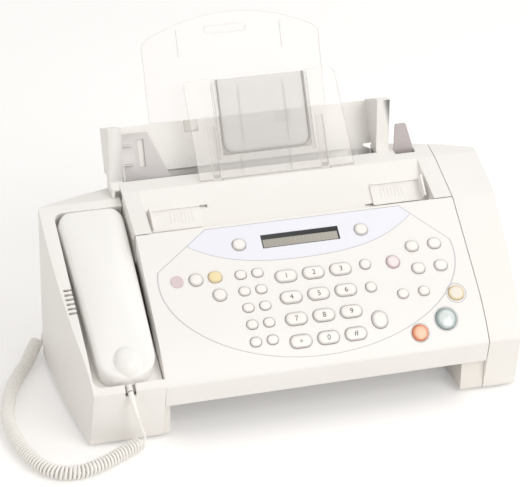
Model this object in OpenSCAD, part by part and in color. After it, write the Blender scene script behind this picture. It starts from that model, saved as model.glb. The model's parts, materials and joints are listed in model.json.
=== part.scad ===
// Desktop fax machine with a corded handset, a document feeder, an ink-jet
// print engine and a rear sheet feeder.
// +Z is up, the keys face -Y, the origin is at the middle of the footprint.

/* [Body] */
// Half width of the body at its front edge
front_half_w = 180; // [176:1:184]
// Half width of the body where its sides bow out most
side_half_w = 189; // [186:1:196]
// Wall thickness of the outer covers
wall = 2.5; // [2:0.1:3]
// Gap between neighbouring covers
seam = 0.8; // [0.4:0.1:1.2]
// Height of the rubber feet
foot_h = 3; // [2:0.5:6]

/* [Control panel] */
// Width of the control panel
panel_w = 271; // [265:1:273]
// X of the panel's middle
panel_x = 15.5; // [15:0.5:16]
// Slope of the panel from the horizontal
panel_tilt = 36; // [34:0.5:38]
// Height of the panel's rear edge
panel_z = 134; // [128:1:140]
// Thickness of the panel from its keys to its underside
panel_t = 17; // [15:0.5:18]
// Length of the display window
display_w = 66; // [56:1:72]
// Height of the display window
display_h = 12; // [10:0.5:14]
// Width of a number key
number_w = 18.5; // [14:0.5:20]
// Height of a number key
number_h = 11; // [8:0.5:12]
// Sideways pitch of the number keys
number_px = 23.1; // [21:0.1:24]
// Pitch of the number keys down the panel
number_ps = 18.9; // [15:0.1:19]
// Diameter of the start key
start_d = 18; // [14:0.5:19]
// Diameter of the stop key
stop_d = 13.5; // [11:0.5:15]
// Travel of every key
key_travel = 1.2; // [0.8:0.1:1.4]
// Gap around each key in its hole
key_gap = 0.35; // [0.2:0.05:0.5]

/* [Handset] */
// Length of the handset
handset_l = 161; // [150:1:166]
// Width of the handset at the ear end
handset_ear_w = 54; // [48:1:55]
// Width of the handset at the mouth end
handset_mouth_w = 46; // [40:1:50]
// Slope of the cradle from the horizontal
bay_tilt = 26.5; // [24:0.5:28]
// Depth of the cradle recess
bay_depth = 15; // [12:0.5:17]
// How far the handset stands above the cradle's rim
handset_proud = 10; // [6:0.5:14]

/* [Document feeder] */
// Width of the document slot
slot_w = 242; // [230:1:246]
// Travel of each document guide
guide_travel = 42; // [10:1:46]
// Height of a document guide's wall
guide_h = 11; // [6:0.5:14]
// Length of the document tray above its foot
tray_l = 84; // [60:1:95]
// Width of the document tray at its foot
tray_w = 134; // [110:1:140]
// Lean of the document tray from the vertical
tray_lean = 30; // [25:1:34]

/* [Sheet feeder] */
// Width of paper that the sheet feeder takes
paper_w = 216; // [200:1:218]
// Lean of the sheet feeder from the vertical
feeder_lean = 25; // [22:1:27]
// Height of the sheet feeder's back wall above the deck
feeder_h = 33; // [25:1:45]
// Width of the clear paper support
support_w = 154; // [130:1:170]
// Length of the clear paper support above the back wall
support_l = 87; // [60:1:100]

/* [Print engine] */
// Radius of the carriage's guide rod
rod_r = 4; // [3:0.1:5]
// Radius of the roller shafts
shaft_r = 3; // [2:0.1:3.5]
// Radial running clearance of shafts and rods
run_gap = 0.06; // [0.02:0.01:0.1]
// Radius of the paper feed roller
feed_r = 7; // [6:0.1:8]

/* [Cord] */
// Outer diameter of the curly handset cord
curl_d = 11.8; // [9:0.1:13]
// Diameter of the straight leads of the handset cord
lead_d = 4.4; // [3.6:0.1:5]

/* [Hidden] */
$fn = 48;

// Plan of the body
front_y = -118;
wide_y = 18;
rear_mid_y = 74;
rear_side_y = 38;
side_steps = 10;
rear_steps = 22;

// Panel
panel_y = -14;
panel_flat = 80;
panel_bend_r = 148;
panel_bend_end = 55;
panel_nose_r = 4;
panel_nose_end = 85;
roll_steps = 8;
band_z = 32;
foot_front_y = -106;
panel_left = panel_x - panel_w / 2;
panel_right = panel_x + panel_w / 2;
flange_t = 1;
mat_t = 1.2;
board_t = 1.4;
base_t = 2;
flange_gap = 0.45;
key_depth = wall + flange_gap + flange_t;
mat_top = -11.6;
key_float = 0.3;
stem_r = 2;
board_top = mat_top - mat_t;
under_n = -panel_t;
hinge_r = 2;
hinge_ring = 4;
hinge_s = 11;
hinge_n = -7;
hinge_y = panel_y - hinge_s * cos(panel_tilt) - hinge_n * sin(panel_tilt);
hinge_z = panel_z - hinge_s * sin(panel_tilt) + hinge_n * cos(panel_tilt);
band_depth = 10;
boss_at = [[-100, 18], [-100, 76], [126, 18], [141, 70]];
lead_in = 0.3;

// Cradle, left cover
bay_y = 38;
bay_z = 142;
bay_roll_y = -90;
bay_roll_r = 66;
bay_roll_end = 58;
left_edge = panel_left - seam;
bay_x0 = -178;
bay_t0 = 8;
bay_t1 = bay_t0 + handset_l + 3;
handset_x = (bay_x0 + left_edge) / 2 + 0.4;
handset_gap = 0.5;
handset_t0 = bay_t0 + 1.5;
handset_t1 = handset_t0 + handset_l;
handset_wall = 2.2;
split_n = -4;
cup_n = handset_gap - bay_depth;
grip_n = -9;
dome_r = 14.5;
gland_r = 3.4;
gland_n = -12;
gland_l = 5.2;
hook_t = 34;
hook_r = 2.5;
hook_tube = 7;
left_rear_y = 90;
grille_n = 6;
grille_pitch = 4.4;
grille_t0 = 83;

// Deck and document slope
crest_y = 32;
crest_z = 149.5;
deck_y = 47;
deck_z = 152;
gear_m = 1;
mesh_gap = 0.15;
slope_y = panel_y;
slope_z = 108.5;
slope_tilt = atan((crest_z - slope_z) / (crest_y - slope_y));
slope_l = norm([crest_z - slope_z, crest_y - slope_y]);
slot_x = panel_x - 0.8;
right_edge = panel_right + seam;
deck_left = -127;
guide_t0 = 18.7;
guide_plate_l = 18.8;
guide_plate_w = 44;
guide_edge = 3.3;
pinion_teeth = 12;
rack_dt = gear_m * pinion_teeth / 2 + mesh_gap;
rack_t = guide_t0 + guide_plate_l / 2;
rack_w = 2.2;
stem_w = 5;
stem_dx = slot_w / 2 - guide_edge - 6;
rack_teeth = 17;
tray_slot_d = 6;
tray_tab_x = [-38, 56];
tray_cut = [-31, 46];
tray_cut_z = 20;

// Sheet feeder
feeder_y = 65;
post_w = 11;
feeder_x1 = deck_left + post_w + paper_w + 4.5;
throat_d = 17;
support_x = -8;
feeder_l = feeder_h / cos(feeder_lean);
support_tab_x = [-50, 30];
post_h = 46;
lever_x = 120;
lever_y = 47;
lever_z = 143;
lever_h = 33;
lever_r = 2;
lift_z0 = -11;
lift_len = 69;

// Side frames and shafts
frame_t = 2;
frame_xl = -117;
frame_xr = 138;
chute_t = 2.5;
rod_y = -2;
rod_z = 78;
feed_y = 12;
feed_z = 42;
feed_teeth = 36;
idler_teeth = 34;
exit_teeth = 24;
motor_teeth = 12;
gear_x = frame_xr + frame_t + 1;
gear_w = 6;
idler_y = feed_y - gear_m * (feed_teeth + idler_teeth) / 2 - mesh_gap;
exit_y = idler_y - gear_m * (idler_teeth + exit_teeth) / 2 - mesh_gap;
motor_d = gear_m * (feed_teeth + motor_teeth) / 2 + mesh_gap;
motor_y = feed_y + motor_d * cos(45);
motor_z = feed_z - motor_d * sin(45);
exit_r = 5;
pick_r = 12;
pick_gap = 3;
pick_z0 = 88;
pick_y = feeder_y - (deck_z - pick_z0) * tan(feeder_lean) - (pick_r + pick_gap) * cos(feeder_lean);
pick_z = pick_z0 + (pick_r + pick_gap) * sin(feeder_lean);
doc_r = 9;
doc_y0 = -52;
chute_z = slope_z - lead_in;
doc_y = doc_y0 + (doc_r - 1.5) * sin(panel_tilt);
doc_z = chute_z + (doc_y0 - panel_y) * tan(panel_tilt) - (doc_r - 1.5) * cos(panel_tilt);
belt_y = 14;
belt_w = 5;
belt_z = 72;
pulley_r = 6;
belt_t = 1;
pulley_xl = -104;
pulley_xr = 120;
carriage_x0 = 68;
carriage_w = 36;

// Keys: [x, s] from the panel's rear edge
number_x0 = -5.8;
number_s0 = 51.7;
number_rows = 4;
touch_x0 = -42.5;
touch_px = 14;
touch_s0 = 45.6;
touch_ps = 14.6;
touch_rows = 5;
display_s = 19;
display_x = 14;
display_key_dx = 52;
start_at = [118, 106.5];
stop_at = [94, 115];
mode_at = [131.5, 86];
redial_at = [61.8, 50.5];
pause_at = [61.8, 71];
hash_at = [62.5, 99.6];
menu_at = [85.6, 51.5];
arrow_at = [[105, 39.8], [124.5, 39.8], [105.5, 60], [125, 60]];
volume_at = [[87, 80.5], [105, 80.5]];
left_at = [[-79.5, 45], [-63, 60.5]];
copy_at = [-63.6, 44.6];
lamp_at = [-95, 44.6];

// Route of the handset cord, from the handset round to the jack
cord_z = curl_d / 2 + 0.1;
lead_route = [[-149, -115, 52.4], [-149, -119, 50], [-148, -122, 44], [-146, -123, 34],
    [-144, -122, 22], [-143, -120, 12], [-143, -118, 8]];
curl_route = [[-143, -118, cord_z], [-151, -123, cord_z], [-161, -129, cord_z], [-179, -139, cord_z],
    [-196, -144, cord_z], [-212, -141, cord_z], [-224, -128, cord_z], [-232, -106, cord_z],
    [-236, -84, cord_z], [-237, -60, cord_z], [-233, -38, cord_z], [-226, -15, cord_z],
    [-216, 5, cord_z], [-206, 22, cord_z], [-199, 38, cord_z], [-192, 52, cord_z]];
tail_route = [[-192, 52, cord_z], [-186, 58, 7], [-178, 63, 9], [-169, 65, 13], [-162, 62, 17],
    [-160, 56, 18]];
jack_x = -160;
jack_z = 18;
plug_w = 7.6;
plug_h = 6.6;
plug_end = 56;
plug_l = 20;

// Base
fit = 0.3;
floor_t = 3;
floor_top = foot_h + floor_t;
exit_xl = left_edge + 6;
exit_xr = 132;
exit_y1 = -62;
exit_top = band_z - 1;
rear_top = 136;
foot_r = 8;
foot_at = [[-150, -88], [162, -88], [-150, 24], [150, 24]];
inlet_x = 120;
line_x = -85;
right_skirt = 26;

// Document path
chute_n = (chute_z - panel_z) * cos(panel_tilt);
doc_s = (panel_y - doc_y0 - chute_n * sin(panel_tilt)) / cos(panel_tilt);
sensor_s = 84;
board_z = 12;

// ---- Frames and profiles ----

// Extrudes a [y, z] outline along X.
module along_x(x0, x1) {
    translate([x0, 0, 0])
        rotate([90, 0, 90])
            linear_extrude(x1 - x0)
                children();
}

// Puts children on the panel: X across, -Y down the panel, +Z out of it.
module on_panel() {
    translate([0, panel_y, panel_z])
        rotate([panel_tilt, 0, 0])
            children();
}

// Puts children on the panel's surface, s along it and square to it there.
module on_key(s) {
    p = panel_at(s);
    translate([0, p[0], p[1]])
        rotate([panel_slope(s), 0, 0])
            children();
}

// Puts children on the cradle's rim, with the same axes.
module in_bay() {
    translate([0, bay_y, bay_z])
        rotate([bay_tilt, 0, 0])
            children();
}

// Puts children on the document slope, with the same axes.
module on_slope() {
    translate([0, crest_y, crest_z])
        rotate([slope_tilt, 0, 0])
            children();
}

// Puts children on the sheet feeder's front face: X across, +Y back, +Z up along the face.
module on_feeder() {
    translate([0, feeder_y, deck_z])
        rotate([-feeder_lean, 0, 0])
            children();
}

// Puts children on the document tray's front face, with the same axes.
module on_tray() {
    translate([0, crest_y + 1.5, crest_z + 0.5])
        rotate([-tray_lean, 0, 0])
            children();
}

function half_w(y) = side_half_w
    - (side_half_w - front_half_w) * pow(max(0, wide_y - y) / (wide_y - foot_front_y), 2);
function rear_y(x) = rear_mid_y - (rear_mid_y - rear_side_y) * pow(x / side_half_w, 2);

// The body's plan, moved in by an inset.
function plan_points(inset) = let (y0 = front_y + inset, y1 = rear_side_y - inset)
    concat(
        [for (i = [0:side_steps]) let (y = y0 + (y1 - y0) * i / side_steps) [half_w(y) - inset, y]],
        [for (i = [1:rear_steps - 1]) let (x = (side_half_w - inset) * (1 - 2 * i / rear_steps))
            [x, rear_y(x) - inset]],
        [for (i = [side_steps:-1:0]) let (y = y0 + (y1 - y0) * i / side_steps)
            [inset - half_w(y), y]]);

module plan_solid(inset, z0, z1) {
    translate([0, 0, z0])
        linear_extrude(z1 - z0)
            polygon(plan_points(inset));
}

// An arc of [y, z] points: start point, slope there, radius and last slope.
function roll(p, a0, r, a1, steps) = let (c = [p[0] + r * sin(a0), p[1] - r * cos(a0)])
    [for (i = [0:steps]) let (a = a0 + (a1 - a0) * i / steps) [c[0] - r * sin(a), c[1] + r * cos(a)]];

// A point of the panel's surface, s along it from its rear edge, and its slope there.
function panel_slope(s) = panel_tilt + max(0, s - panel_flat) / panel_bend_r * 180 / PI;
function panel_at(s) = let (f = min(s, panel_flat), a = panel_slope(s))
    [panel_y - f * cos(panel_tilt) - panel_bend_r * (sin(a) - sin(panel_tilt)),
        panel_z - f * sin(panel_tilt) - panel_bend_r * (cos(panel_tilt) - cos(a))];

// The panel's top line from its rear edge to the top of its front band, moved in by d.
function panel_line(d) = let (
    bend = roll([panel_y - panel_flat * cos(panel_tilt) + d * sin(panel_tilt),
        panel_z - panel_flat * sin(panel_tilt) - d * cos(panel_tilt)],
        panel_tilt, panel_bend_r - d, panel_bend_end, roll_steps),
    nose = roll(bend[roll_steps], panel_bend_end, panel_nose_r - d, panel_nose_end, 4))
    concat([[panel_y + d * sin(panel_tilt), panel_z - d * cos(panel_tilt)]], bend,
        [for (i = [1:4]) nose[i]]);
panel_nose = panel_line(0)[len(panel_line(0)) - 1];

// The front face leans in towards its foot.
function front_face(z) = foot_front_y
    + (panel_nose[0] - foot_front_y) * (z - foot_h) / (panel_nose[1] - foot_h);

// The cradle's rim line from its rear to the front, moved in by d.
function bay_line(d) = let (y1 = bay_roll_y, z1 = bay_z + (bay_roll_y - bay_y) * tan(bay_tilt))
    concat([[bay_y, bay_z - d / cos(bay_tilt)]],
        roll([y1 + d * sin(bay_tilt), z1 - d * cos(bay_tilt)], bay_tilt, bay_roll_r - d, bay_roll_end,
            roll_steps));

// A rounded plate made of exact faces.
module slab(x0, y0, x1, y1, r, z0, z1) {
    translate([0, 0, z0])
        linear_extrude(z1 - z0)
            polygon(concat(
                [for (a = [0:15:90]) [x1 - r + r * cos(a), y1 - r + r * sin(a)]],
                [for (a = [90:15:180]) [x0 + r + r * cos(a), y1 - r + r * sin(a)]],
                [for (a = [180:15:270]) [x0 + r + r * cos(a), y0 + r + r * sin(a)]],
                [for (a = [270:15:360]) [x1 - r + r * cos(a), y0 + r + r * sin(a)]]));
}

module block(x0, y0, z0, x1, y1, z1) {
    translate([x0, y0, z0])
        cube([x1 - x0, y1 - y0, z1 - z0]);
}

module bar_x(x0, x1, y, z, r) {
    translate([x0, y, z])
        rotate([0, 90, 0])
            cylinder(h = x1 - x0, r = r);
}

// ---- Base and covers ----

module base_pan() {
    color("#ded3c6")
        difference() {
            union() {
                intersection() {
                    plan_solid(wall + fit, foot_h, floor_top);
                    block(-200, foot_front_y + wall + fit, foot_h, 200, 200, floor_top);
                }
                block(exit_xl - 1, foot_front_y + 1, foot_h, exit_xr + 1, 0, floor_top);
                block(left_edge + fit, foot_front_y + 1, foot_h, exit_xl, exit_y1, exit_top);
                block(exit_xr, foot_front_y + 1, foot_h, right_edge - fit, exit_y1, exit_top);
                intersection() {
                    difference() {
                        plan_solid(0, foot_h, rear_top);
                        plan_solid(wall, foot_h - 1, rear_top + 1);
                    }
                    block(left_edge + seam, 20, foot_h, right_edge - seam, rear_mid_y + 1, rear_top);
                }
                intersection() {
                    plan_solid(wall - 1, foot_h, floor_top);
                    block(left_edge + seam, 20, foot_h, right_edge - seam, rear_mid_y + 1, rear_top);
                }
            }
            block(left_edge + fit + wall, foot_front_y + 1 + wall, floor_top, exit_xl - wall,
                exit_y1 - wall, exit_top - wall);
            block(exit_xr + wall, foot_front_y + 1 + wall, floor_top, right_edge - fit - wall,
                exit_y1 - wall, exit_top - wall);
            for (p = foot_at)
                translate([p[0], p[1], foot_h - 1])
                    cylinder(h = floor_t + 2, r = 2.5 + run_gap);
            for (i = [0:9])
                block(-62 + i * 9, rear_mid_y - 12, 60, -58 + i * 9, rear_mid_y + 1, 90);
            block(inlet_x - 11, 30, 16, inlet_x + 11, rear_mid_y + 1, 30);
            block(line_x - 14, 30, 15.5, line_x + 14, rear_mid_y + 1, 25.5);
        }
}

module rubber_feet() {
    color("#4a4846")
        for (p = foot_at)
            translate([p[0], p[1], 0]) {
                cylinder(h = foot_h, r = foot_r);
                cylinder(h = floor_top + 0.5, r = 2.5);
            }
}

// The outer cover of one end: its plan cut by its side view, with a hollow of the same form.
module end_shell(x0, x1, outer, inner, open_x0, open_x1) {
    difference() {
        intersection() {
            plan_solid(0, foot_h, deck_z + 40);
            along_x(x0, x1)
                polygon(outer);
        }
        intersection() {
            plan_solid(wall, foot_h - 1, deck_z + 40);
            along_x(open_x0, open_x1)
                polygon(inner);
        }
    }
}

module left_cover() {
    outer = concat([[left_rear_y, foot_h], [left_rear_y, bay_z]], bay_line(0),
        [[foot_front_y, foot_h]]);
    inner = concat([[left_rear_y, foot_h - 1], [left_rear_y, bay_z - wall]], bay_line(wall),
        [[foot_front_y + wall, foot_h - 1]]);
    color("#f4ede2")
        difference() {
            union() {
                end_shell(-200, left_edge, outer, inner, -200, left_edge - wall);
                intersection() {
                    in_bay()
                        slab(bay_x0 - wall, -bay_t1 - wall, left_edge, -bay_t0 + wall, 9,
                            -bay_depth - wall, 0);
                    plan_solid(0, foot_h, deck_z);
                    along_x(-200, left_edge)
                        polygon(outer);
                }
                in_bay()
                    translate([handset_x, -hook_t, -bay_depth - wall - hook_tube])
                        cylinder(h = hook_tube + wall / 2, r = hook_r + 2.5);
            }
            in_bay() {
                slab(bay_x0, -bay_t1, left_edge + 20, -bay_t0, 7, -bay_depth, 30);
                for (i = [0:grille_n - 1])
                    block(bay_x0 - 3.4, -grille_t0 - i * grille_pitch - 1, -9, bay_x0 + 1,
                        -grille_t0 - i * grille_pitch + 1, 2);
                translate([handset_x, -hook_t, -bay_depth - wall - hook_tube - 1])
                    cylinder(h = hook_tube + wall + 2, r = hook_r + run_gap);
                block(handset_x - gland_r - 1, -bay_t1 - 12, gland_n - gland_r + 0.4,
                    handset_x + gland_r + 1, -bay_t1 + 1, 10);
            }
            intersection() {
                plan_solid(wall, foot_h - 1, floor_top + fit);
                block(left_edge - wall - 1, foot_front_y + wall, foot_h - 1, left_edge + 1, left_rear_y,
                    floor_top + fit);
            }
            block(jack_x - plug_w / 2 - 1, rear_side_y - 6, jack_z - plug_h / 2 - 1,
                jack_x + plug_w / 2 + 1, left_rear_y, jack_z + plug_h / 2 + 1);
        }
}

module right_cover() {
    rear = rear_y(right_edge + wall) - wall;
    front = front_y + 22;
    top = [[rear_mid_y, deck_z], [deck_y, deck_z], [crest_y, crest_z]];
    top_in = [for (p = top) [p[0], p[1] - wall]];
    outer = concat([[rear_mid_y, foot_h]], top, panel_line(0), [[foot_front_y, foot_h]]);
    inner = concat([[rear_mid_y, foot_h - 1]], top_in, panel_line(wall),
        [[foot_front_y + wall, foot_h - 1]]);
    color("#f4ede2")
        difference() {
            end_shell(right_edge, 200, outer, inner, right_edge + wall, 200);
            along_x(right_edge - 1, right_edge + wall + 1)
                polygon([[rear, foot_h - 1], [rear, deck_z - right_skirt],
                    [crest_y, crest_z - right_skirt], [panel_y, panel_z - right_skirt],
                    [front, panel_z - right_skirt - (panel_y - front) * tan(panel_tilt)],
                    [front, floor_top + fit], [foot_front_y + wall, floor_top + fit],
                    [foot_front_y + wall, foot_h - 1]]);
            intersection() {
                plan_solid(wall, foot_h - 1, floor_top + fit);
                block(right_edge - 1, foot_front_y + wall, foot_h - 1, right_edge + wall + 1, rear_mid_y,
                    floor_top + fit);
            }
        }
}

// ---- Deck: document slope, sheet feeder walls ----

function slope_point(t, d) = [crest_y - t * cos(slope_tilt) + d * sin(slope_tilt),
    crest_z - t * sin(slope_tilt) - d * cos(slope_tilt)];
function strip_z(y) = crest_z - (crest_y - y) * (crest_z - panel_z) / (crest_y - panel_y);
function stem_x(k) = slot_x + k * stem_dx;
function rack_y(k) = -rack_t - k * (rack_dt + 1.1 * gear_m + rack_w / 2);

module post(x0) {
    along_x(x0, x0 + post_w)
        polygon([[deck_y + 1, deck_z - 1], [deck_y + 4, deck_z + post_h],
            [deck_y + 8, deck_z + post_h],
            [feeder_y + 2.5 + feeder_h * tan(feeder_lean), deck_z + feeder_h],
            [feeder_y + 2.5 + 10 * tan(feeder_lean), deck_z + 10], [deck_y + 10, deck_z - 1]]);
}

module deck_skin() {
    y0 = panel_y + seam;
    along_x(left_edge + seam, right_edge - seam)
        polygon([[y0, strip_z(y0)], [crest_y, crest_z], [deck_y, deck_z], [rear_mid_y + 1, deck_z],
            [rear_mid_y + 1, deck_z - wall], [deck_y, deck_z - wall], [crest_y + 1, crest_z - wall],
            slope_point(slope_l, wall), slope_point(slope_l - 1, 0)]);
    along_x(left_edge + seam, left_edge + seam + wall)
        polygon([[y0, strip_z(y0)], [crest_y, crest_z], [deck_y, deck_z], [deck_y + 8, deck_z],
            [deck_y, bay_z - 8], slope_point(slope_l, wall)]);
    along_x(deck_left, right_edge - seam)
        polygon([[bay_y + 1, rear_top + seam], [bay_y + 1, deck_z - wall], [deck_y, deck_z],
            [rear_mid_y + 1, deck_z], [rear_mid_y + 1, rear_top + seam]]);
}

// What the deck's skirt leaves open, and the hollow in the strip beside the document slot.
module deck_hollow(x0, x1) {
    along_x(x0, x1)
        polygon([[panel_y - 5, strip_z(panel_y - 5) - wall - 0.2], [crest_y - 5, crest_z - 4.6],
            slope_point(slope_l + 8, 0)]);
}

module deck_cover() {
    slot_x0 = slot_x - slot_w / 2;
    slot_x1 = slot_x + slot_w / 2;
    post_x1 = deck_left + post_w;
    color("#f6efe5")
        difference() {
            union() {
                difference() {
                    intersection() {
                        plan_solid(0, foot_h, deck_z + 1);
                        deck_skin();
                    }
                    intersection() {
                        plan_solid(wall, foot_h, deck_z);
                        along_x(deck_left + wall, right_edge - seam - wall)
                            polygon([[crest_y + 2, rear_top], [crest_y + 2, crest_z - wall],
                                [deck_y, deck_z - wall], [rear_mid_y + 1, deck_z - wall],
                                [rear_mid_y + 1, rear_top]]);
                    }
                    deck_hollow(left_edge + seam + wall, slot_x0 - wall);
                    deck_hollow(slot_x1 + wall, right_edge - seam - wall);
                }
                on_feeder()
                    slab(deck_left, 0, feeder_x1 + post_w, wall, 1, 0, feeder_l);
                post(deck_left);
                post(feeder_x1);
                for (x = [lever_x - 4, lever_x + 18.5])
                    block(x, lever_y - 4, lever_z - 4, x + 2.5, lever_y + 4, deck_z - 1);
                on_slope()
                    translate([slot_x, -rack_t, -wall - 4.8]) {
                        cylinder(h = 5, r = 2);
                        cylinder(h = 1.2, r = 3.4);
                    }
                for (x = [support_x - 95, support_x + 105])
                    on_feeder()
                        block(x - 1.5, 0, -15.2, x + 1.5, wall + 1.5, 1);
            }
            along_x(slot_x0, slot_x1)
                polygon([[crest_y, crest_z], slope_point(slope_l + 8, 0),
                    [panel_y - 20, crest_z + 30], [crest_y, crest_z + 30]]);
            bar_x(left_edge, right_edge, hinge_y, hinge_z,
                norm([panel_y - hinge_y, panel_z - hinge_z]) + 0.5);
            block(deck_left - 1, bay_y, rear_top, left_edge + seam, rear_mid_y, bay_z + fit);
            on_slope()
                for (k = [-1, 1])
                    block(stem_x(k) - stem_w / 2 - 0.5 - (k > 0 ? guide_travel : 0),
                        rack_y(k) - rack_w / 2 - 0.3, -wall - 1,
                        stem_x(k) + stem_w / 2 + 0.5 + (k < 0 ? guide_travel : 0),
                        rack_y(k) + rack_w / 2 + 0.3, 1);
            on_tray()
                for (x = tray_tab_x)
                    block(x - 4.2, -0.3, -tray_slot_d - 1, x + 4.2, 2.3, 3);
            block(post_x1, deck_y + 2, deck_z - 12, feeder_x1, feeder_y - 2, deck_z + 1);
            on_feeder() {
                block(post_x1, -throat_d, -14, feeder_x1, 0, 3);
                for (x = support_tab_x)
                    block(x - 6.2, -1, feeder_l - 10, x + 6.2, 1.3, feeder_l + 1);
                bar_x(support_x - 98, support_x + 108, wall / 2 + 0.3, lift_z0, 1.5 + run_gap);
            }
            block(lever_x - 0.4, lever_y - 6, deck_z - 6, lever_x + 17.4, lever_y + 2, deck_z + 1);
            bar_x(lever_x - 5, lever_x + 22, lever_y, lever_z, lever_r + run_gap);
        }
}

// ---- Feeding ----

// A guide for the edge of the document; k is -1 on the left and 1 on the right.
module document_guide(k) {
    outer = slot_x + k * (slot_w / 2 - guide_edge);
    inner = outer - k * guide_plate_w;
    x0 = min(outer, inner);
    x1 = max(outer, inner);
    pitch = PI * gear_m;
    color("#b9b4b1")
        on_slope() {
            difference() {
                union() {
                    slab(x0, -guide_t0 - guide_plate_l, x1, -guide_t0, 1.2, 0.15, 1.65);
                    slab(min(outer, outer - k * 1.5), -guide_t0 - guide_plate_l,
                        max(outer, outer - k * 1.5), -guide_t0, 0.6, 0.15, guide_h);
                    block(x0 + 1, -guide_t0 - 1.5, 0.15, x1 - 1, -guide_t0, 4);
                    block(stem_x(k) - stem_w / 2, rack_y(k) - rack_w / 2, -wall - 3.6,
                        stem_x(k) + stem_w / 2, rack_y(k) + rack_w / 2, 1);
                    translate([0, 0, -wall - 3.6])
                        linear_extrude(3.2)
                            polygon(concat(
                                [[stem_x(k) + k * stem_w / 2, rack_y(k) - k * rack_w / 2],
                                    [stem_x(k) + k * stem_w / 2, rack_y(k) + k * rack_w / 2]],
                                [for (i = [rack_teeth - 1:-1:0])
                                    for (c = [[0.29, -1.1], [0.11, 0.8], [-0.11, 0.8], [-0.29, -1.1]])
                                        [slot_x - k * (1.5 - i - c[0]) * pitch,
                                            k * c[1] * gear_m - rack_t - k * rack_dt]],
                                [[slot_x - k * 2.2 * pitch, rack_y(k) + k * rack_w / 2],
                                    [slot_x - k * 2.2 * pitch, rack_y(k) - k * rack_w / 2]]));
                }
                for (i = [0:6])
                    block(inner + k * (8 + i * 3) - 0.4, -guide_t0 - 13, 1.25, inner + k * (8 + i * 3) + 0.4,
                        -guide_t0 - 5, 2);
            }
        }
}

module document_guide_left() {
    document_guide(-1);
}

module document_guide_right() {
    document_guide(1);
}

module gear(teeth, bore, width, phase) {
    rp = gear_m * teeth / 2;
    pitch = 360 / teeth;
    difference() {
        linear_extrude(width)
            polygon([for (i = [0:teeth - 1])
                for (c = [[-0.29, -1.1], [-0.11, 0.8], [0.11, 0.8], [0.29, -1.1]])
                    let (a = phase + (i + c[0]) * pitch, r = rp + c[1] * gear_m)
                        [r * cos(a), r * sin(a)]]);
        translate([0, 0, -1])
            cylinder(h = width + 2, r = bore);
    }
}

// A gear on a shaft that runs along X.
module gear_x_at(y, z, teeth, bore, phase) {
    translate([gear_x, y, z])
        rotate([90, 0, 90])
            gear(teeth, bore, gear_w, phase);
}

module guide_pinion() {
    color("#e4e0d6")
        on_slope()
            translate([slot_x, -rack_t, -wall - 3.4])
                gear(pinion_teeth, 2 + run_gap, 3, 0);
}

module document_tray() {
    half = tray_w / 2;
    mid = (tray_tab_x[0] + tray_tab_x[1]) / 2 + 4.4;
    color([0.86, 0.85, 0.83, 0.75]) {
        difference() {
            on_tray() {
                translate([0, 2, 0])
                    rotate([90, 0, 0])
                        linear_extrude(2)
                            polygon([[mid - half, 0.5], [mid + half, 0.5],
                                [mid + half - 7, tray_l - 4], [mid + half - 11, tray_l],
                                [mid - half, tray_l], [mid - half - 4, tray_l - 4]]);
                for (x = tray_tab_x)
                    block(x - 3, 1, 0.5, x + 3, 6, 45);
                for (x = [tray_cut[0] - 3.2, tray_cut[1] + 1.9])
                    block(x, 1, tray_cut_z - 3, x + 1.3, 5, tray_l - 2);
                block(tray_cut[0] - 3.2, 3.9, tray_cut_z - 3, tray_cut[0] - 0.8, 5, tray_l - 2);
                block(tray_cut[1] + 0.8, 3.9, tray_cut_z - 3, tray_cut[1] + 3.2, 5, tray_l - 2);
                for (x = [-16, 26])
                    block(x - 0.6, -0.8, 2, x + 0.6, 1, tray_cut_z - 2);
            }
            on_tray()
                block(tray_cut[0], -2, tray_cut_z, tray_cut[1], 2.1, tray_l + 1);
            along_x(mid - tray_w, mid + tray_w)
                polygon([[crest_y - 12, bay_z], [crest_y - 12, crest_z + 0.2], [crest_y, crest_z + 0.2],
                    [deck_y, deck_z + 0.2], [rear_mid_y, deck_z + 0.2], [rear_mid_y, bay_z]]);
        }
        on_tray()
            for (x = tray_tab_x)
                block(x - 4, 0, -tray_slot_d, x + 4, 2, 3);
    }
}

module tray_extension() {
    color([0.86, 0.85, 0.83, 0.75])
        on_tray() {
            block(tray_cut[0] + 0.6, 0.1, tray_cut_z + 1, tray_cut[1] - 0.6, 1.7, tray_l - 1);
            for (x = [[tray_cut[0] - 1.6, tray_cut[0] + 3], [tray_cut[1] - 3, tray_cut[1] + 1.6]])
                difference() {
                    block(x[0], 0.6, tray_cut_z + 1, x[1], 3.6, tray_l - 1);
                    block(x[0] - 1, -1, tray_cut_z, tray_cut[0] + 0.6, 2.3, tray_l);
                    block(tray_cut[1] - 0.6, -1, tray_cut_z, x[1] + 1, 2.3, tray_l);
                }
            for (x = [-12, 27])
                block(x - 0.7, -1.1, tray_cut_z + 3, x + 0.7, 1, tray_l - 8);
            block(-10, -2.4, tray_l - 3, 25, 1, tray_l - 1);
        }
}

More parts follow.
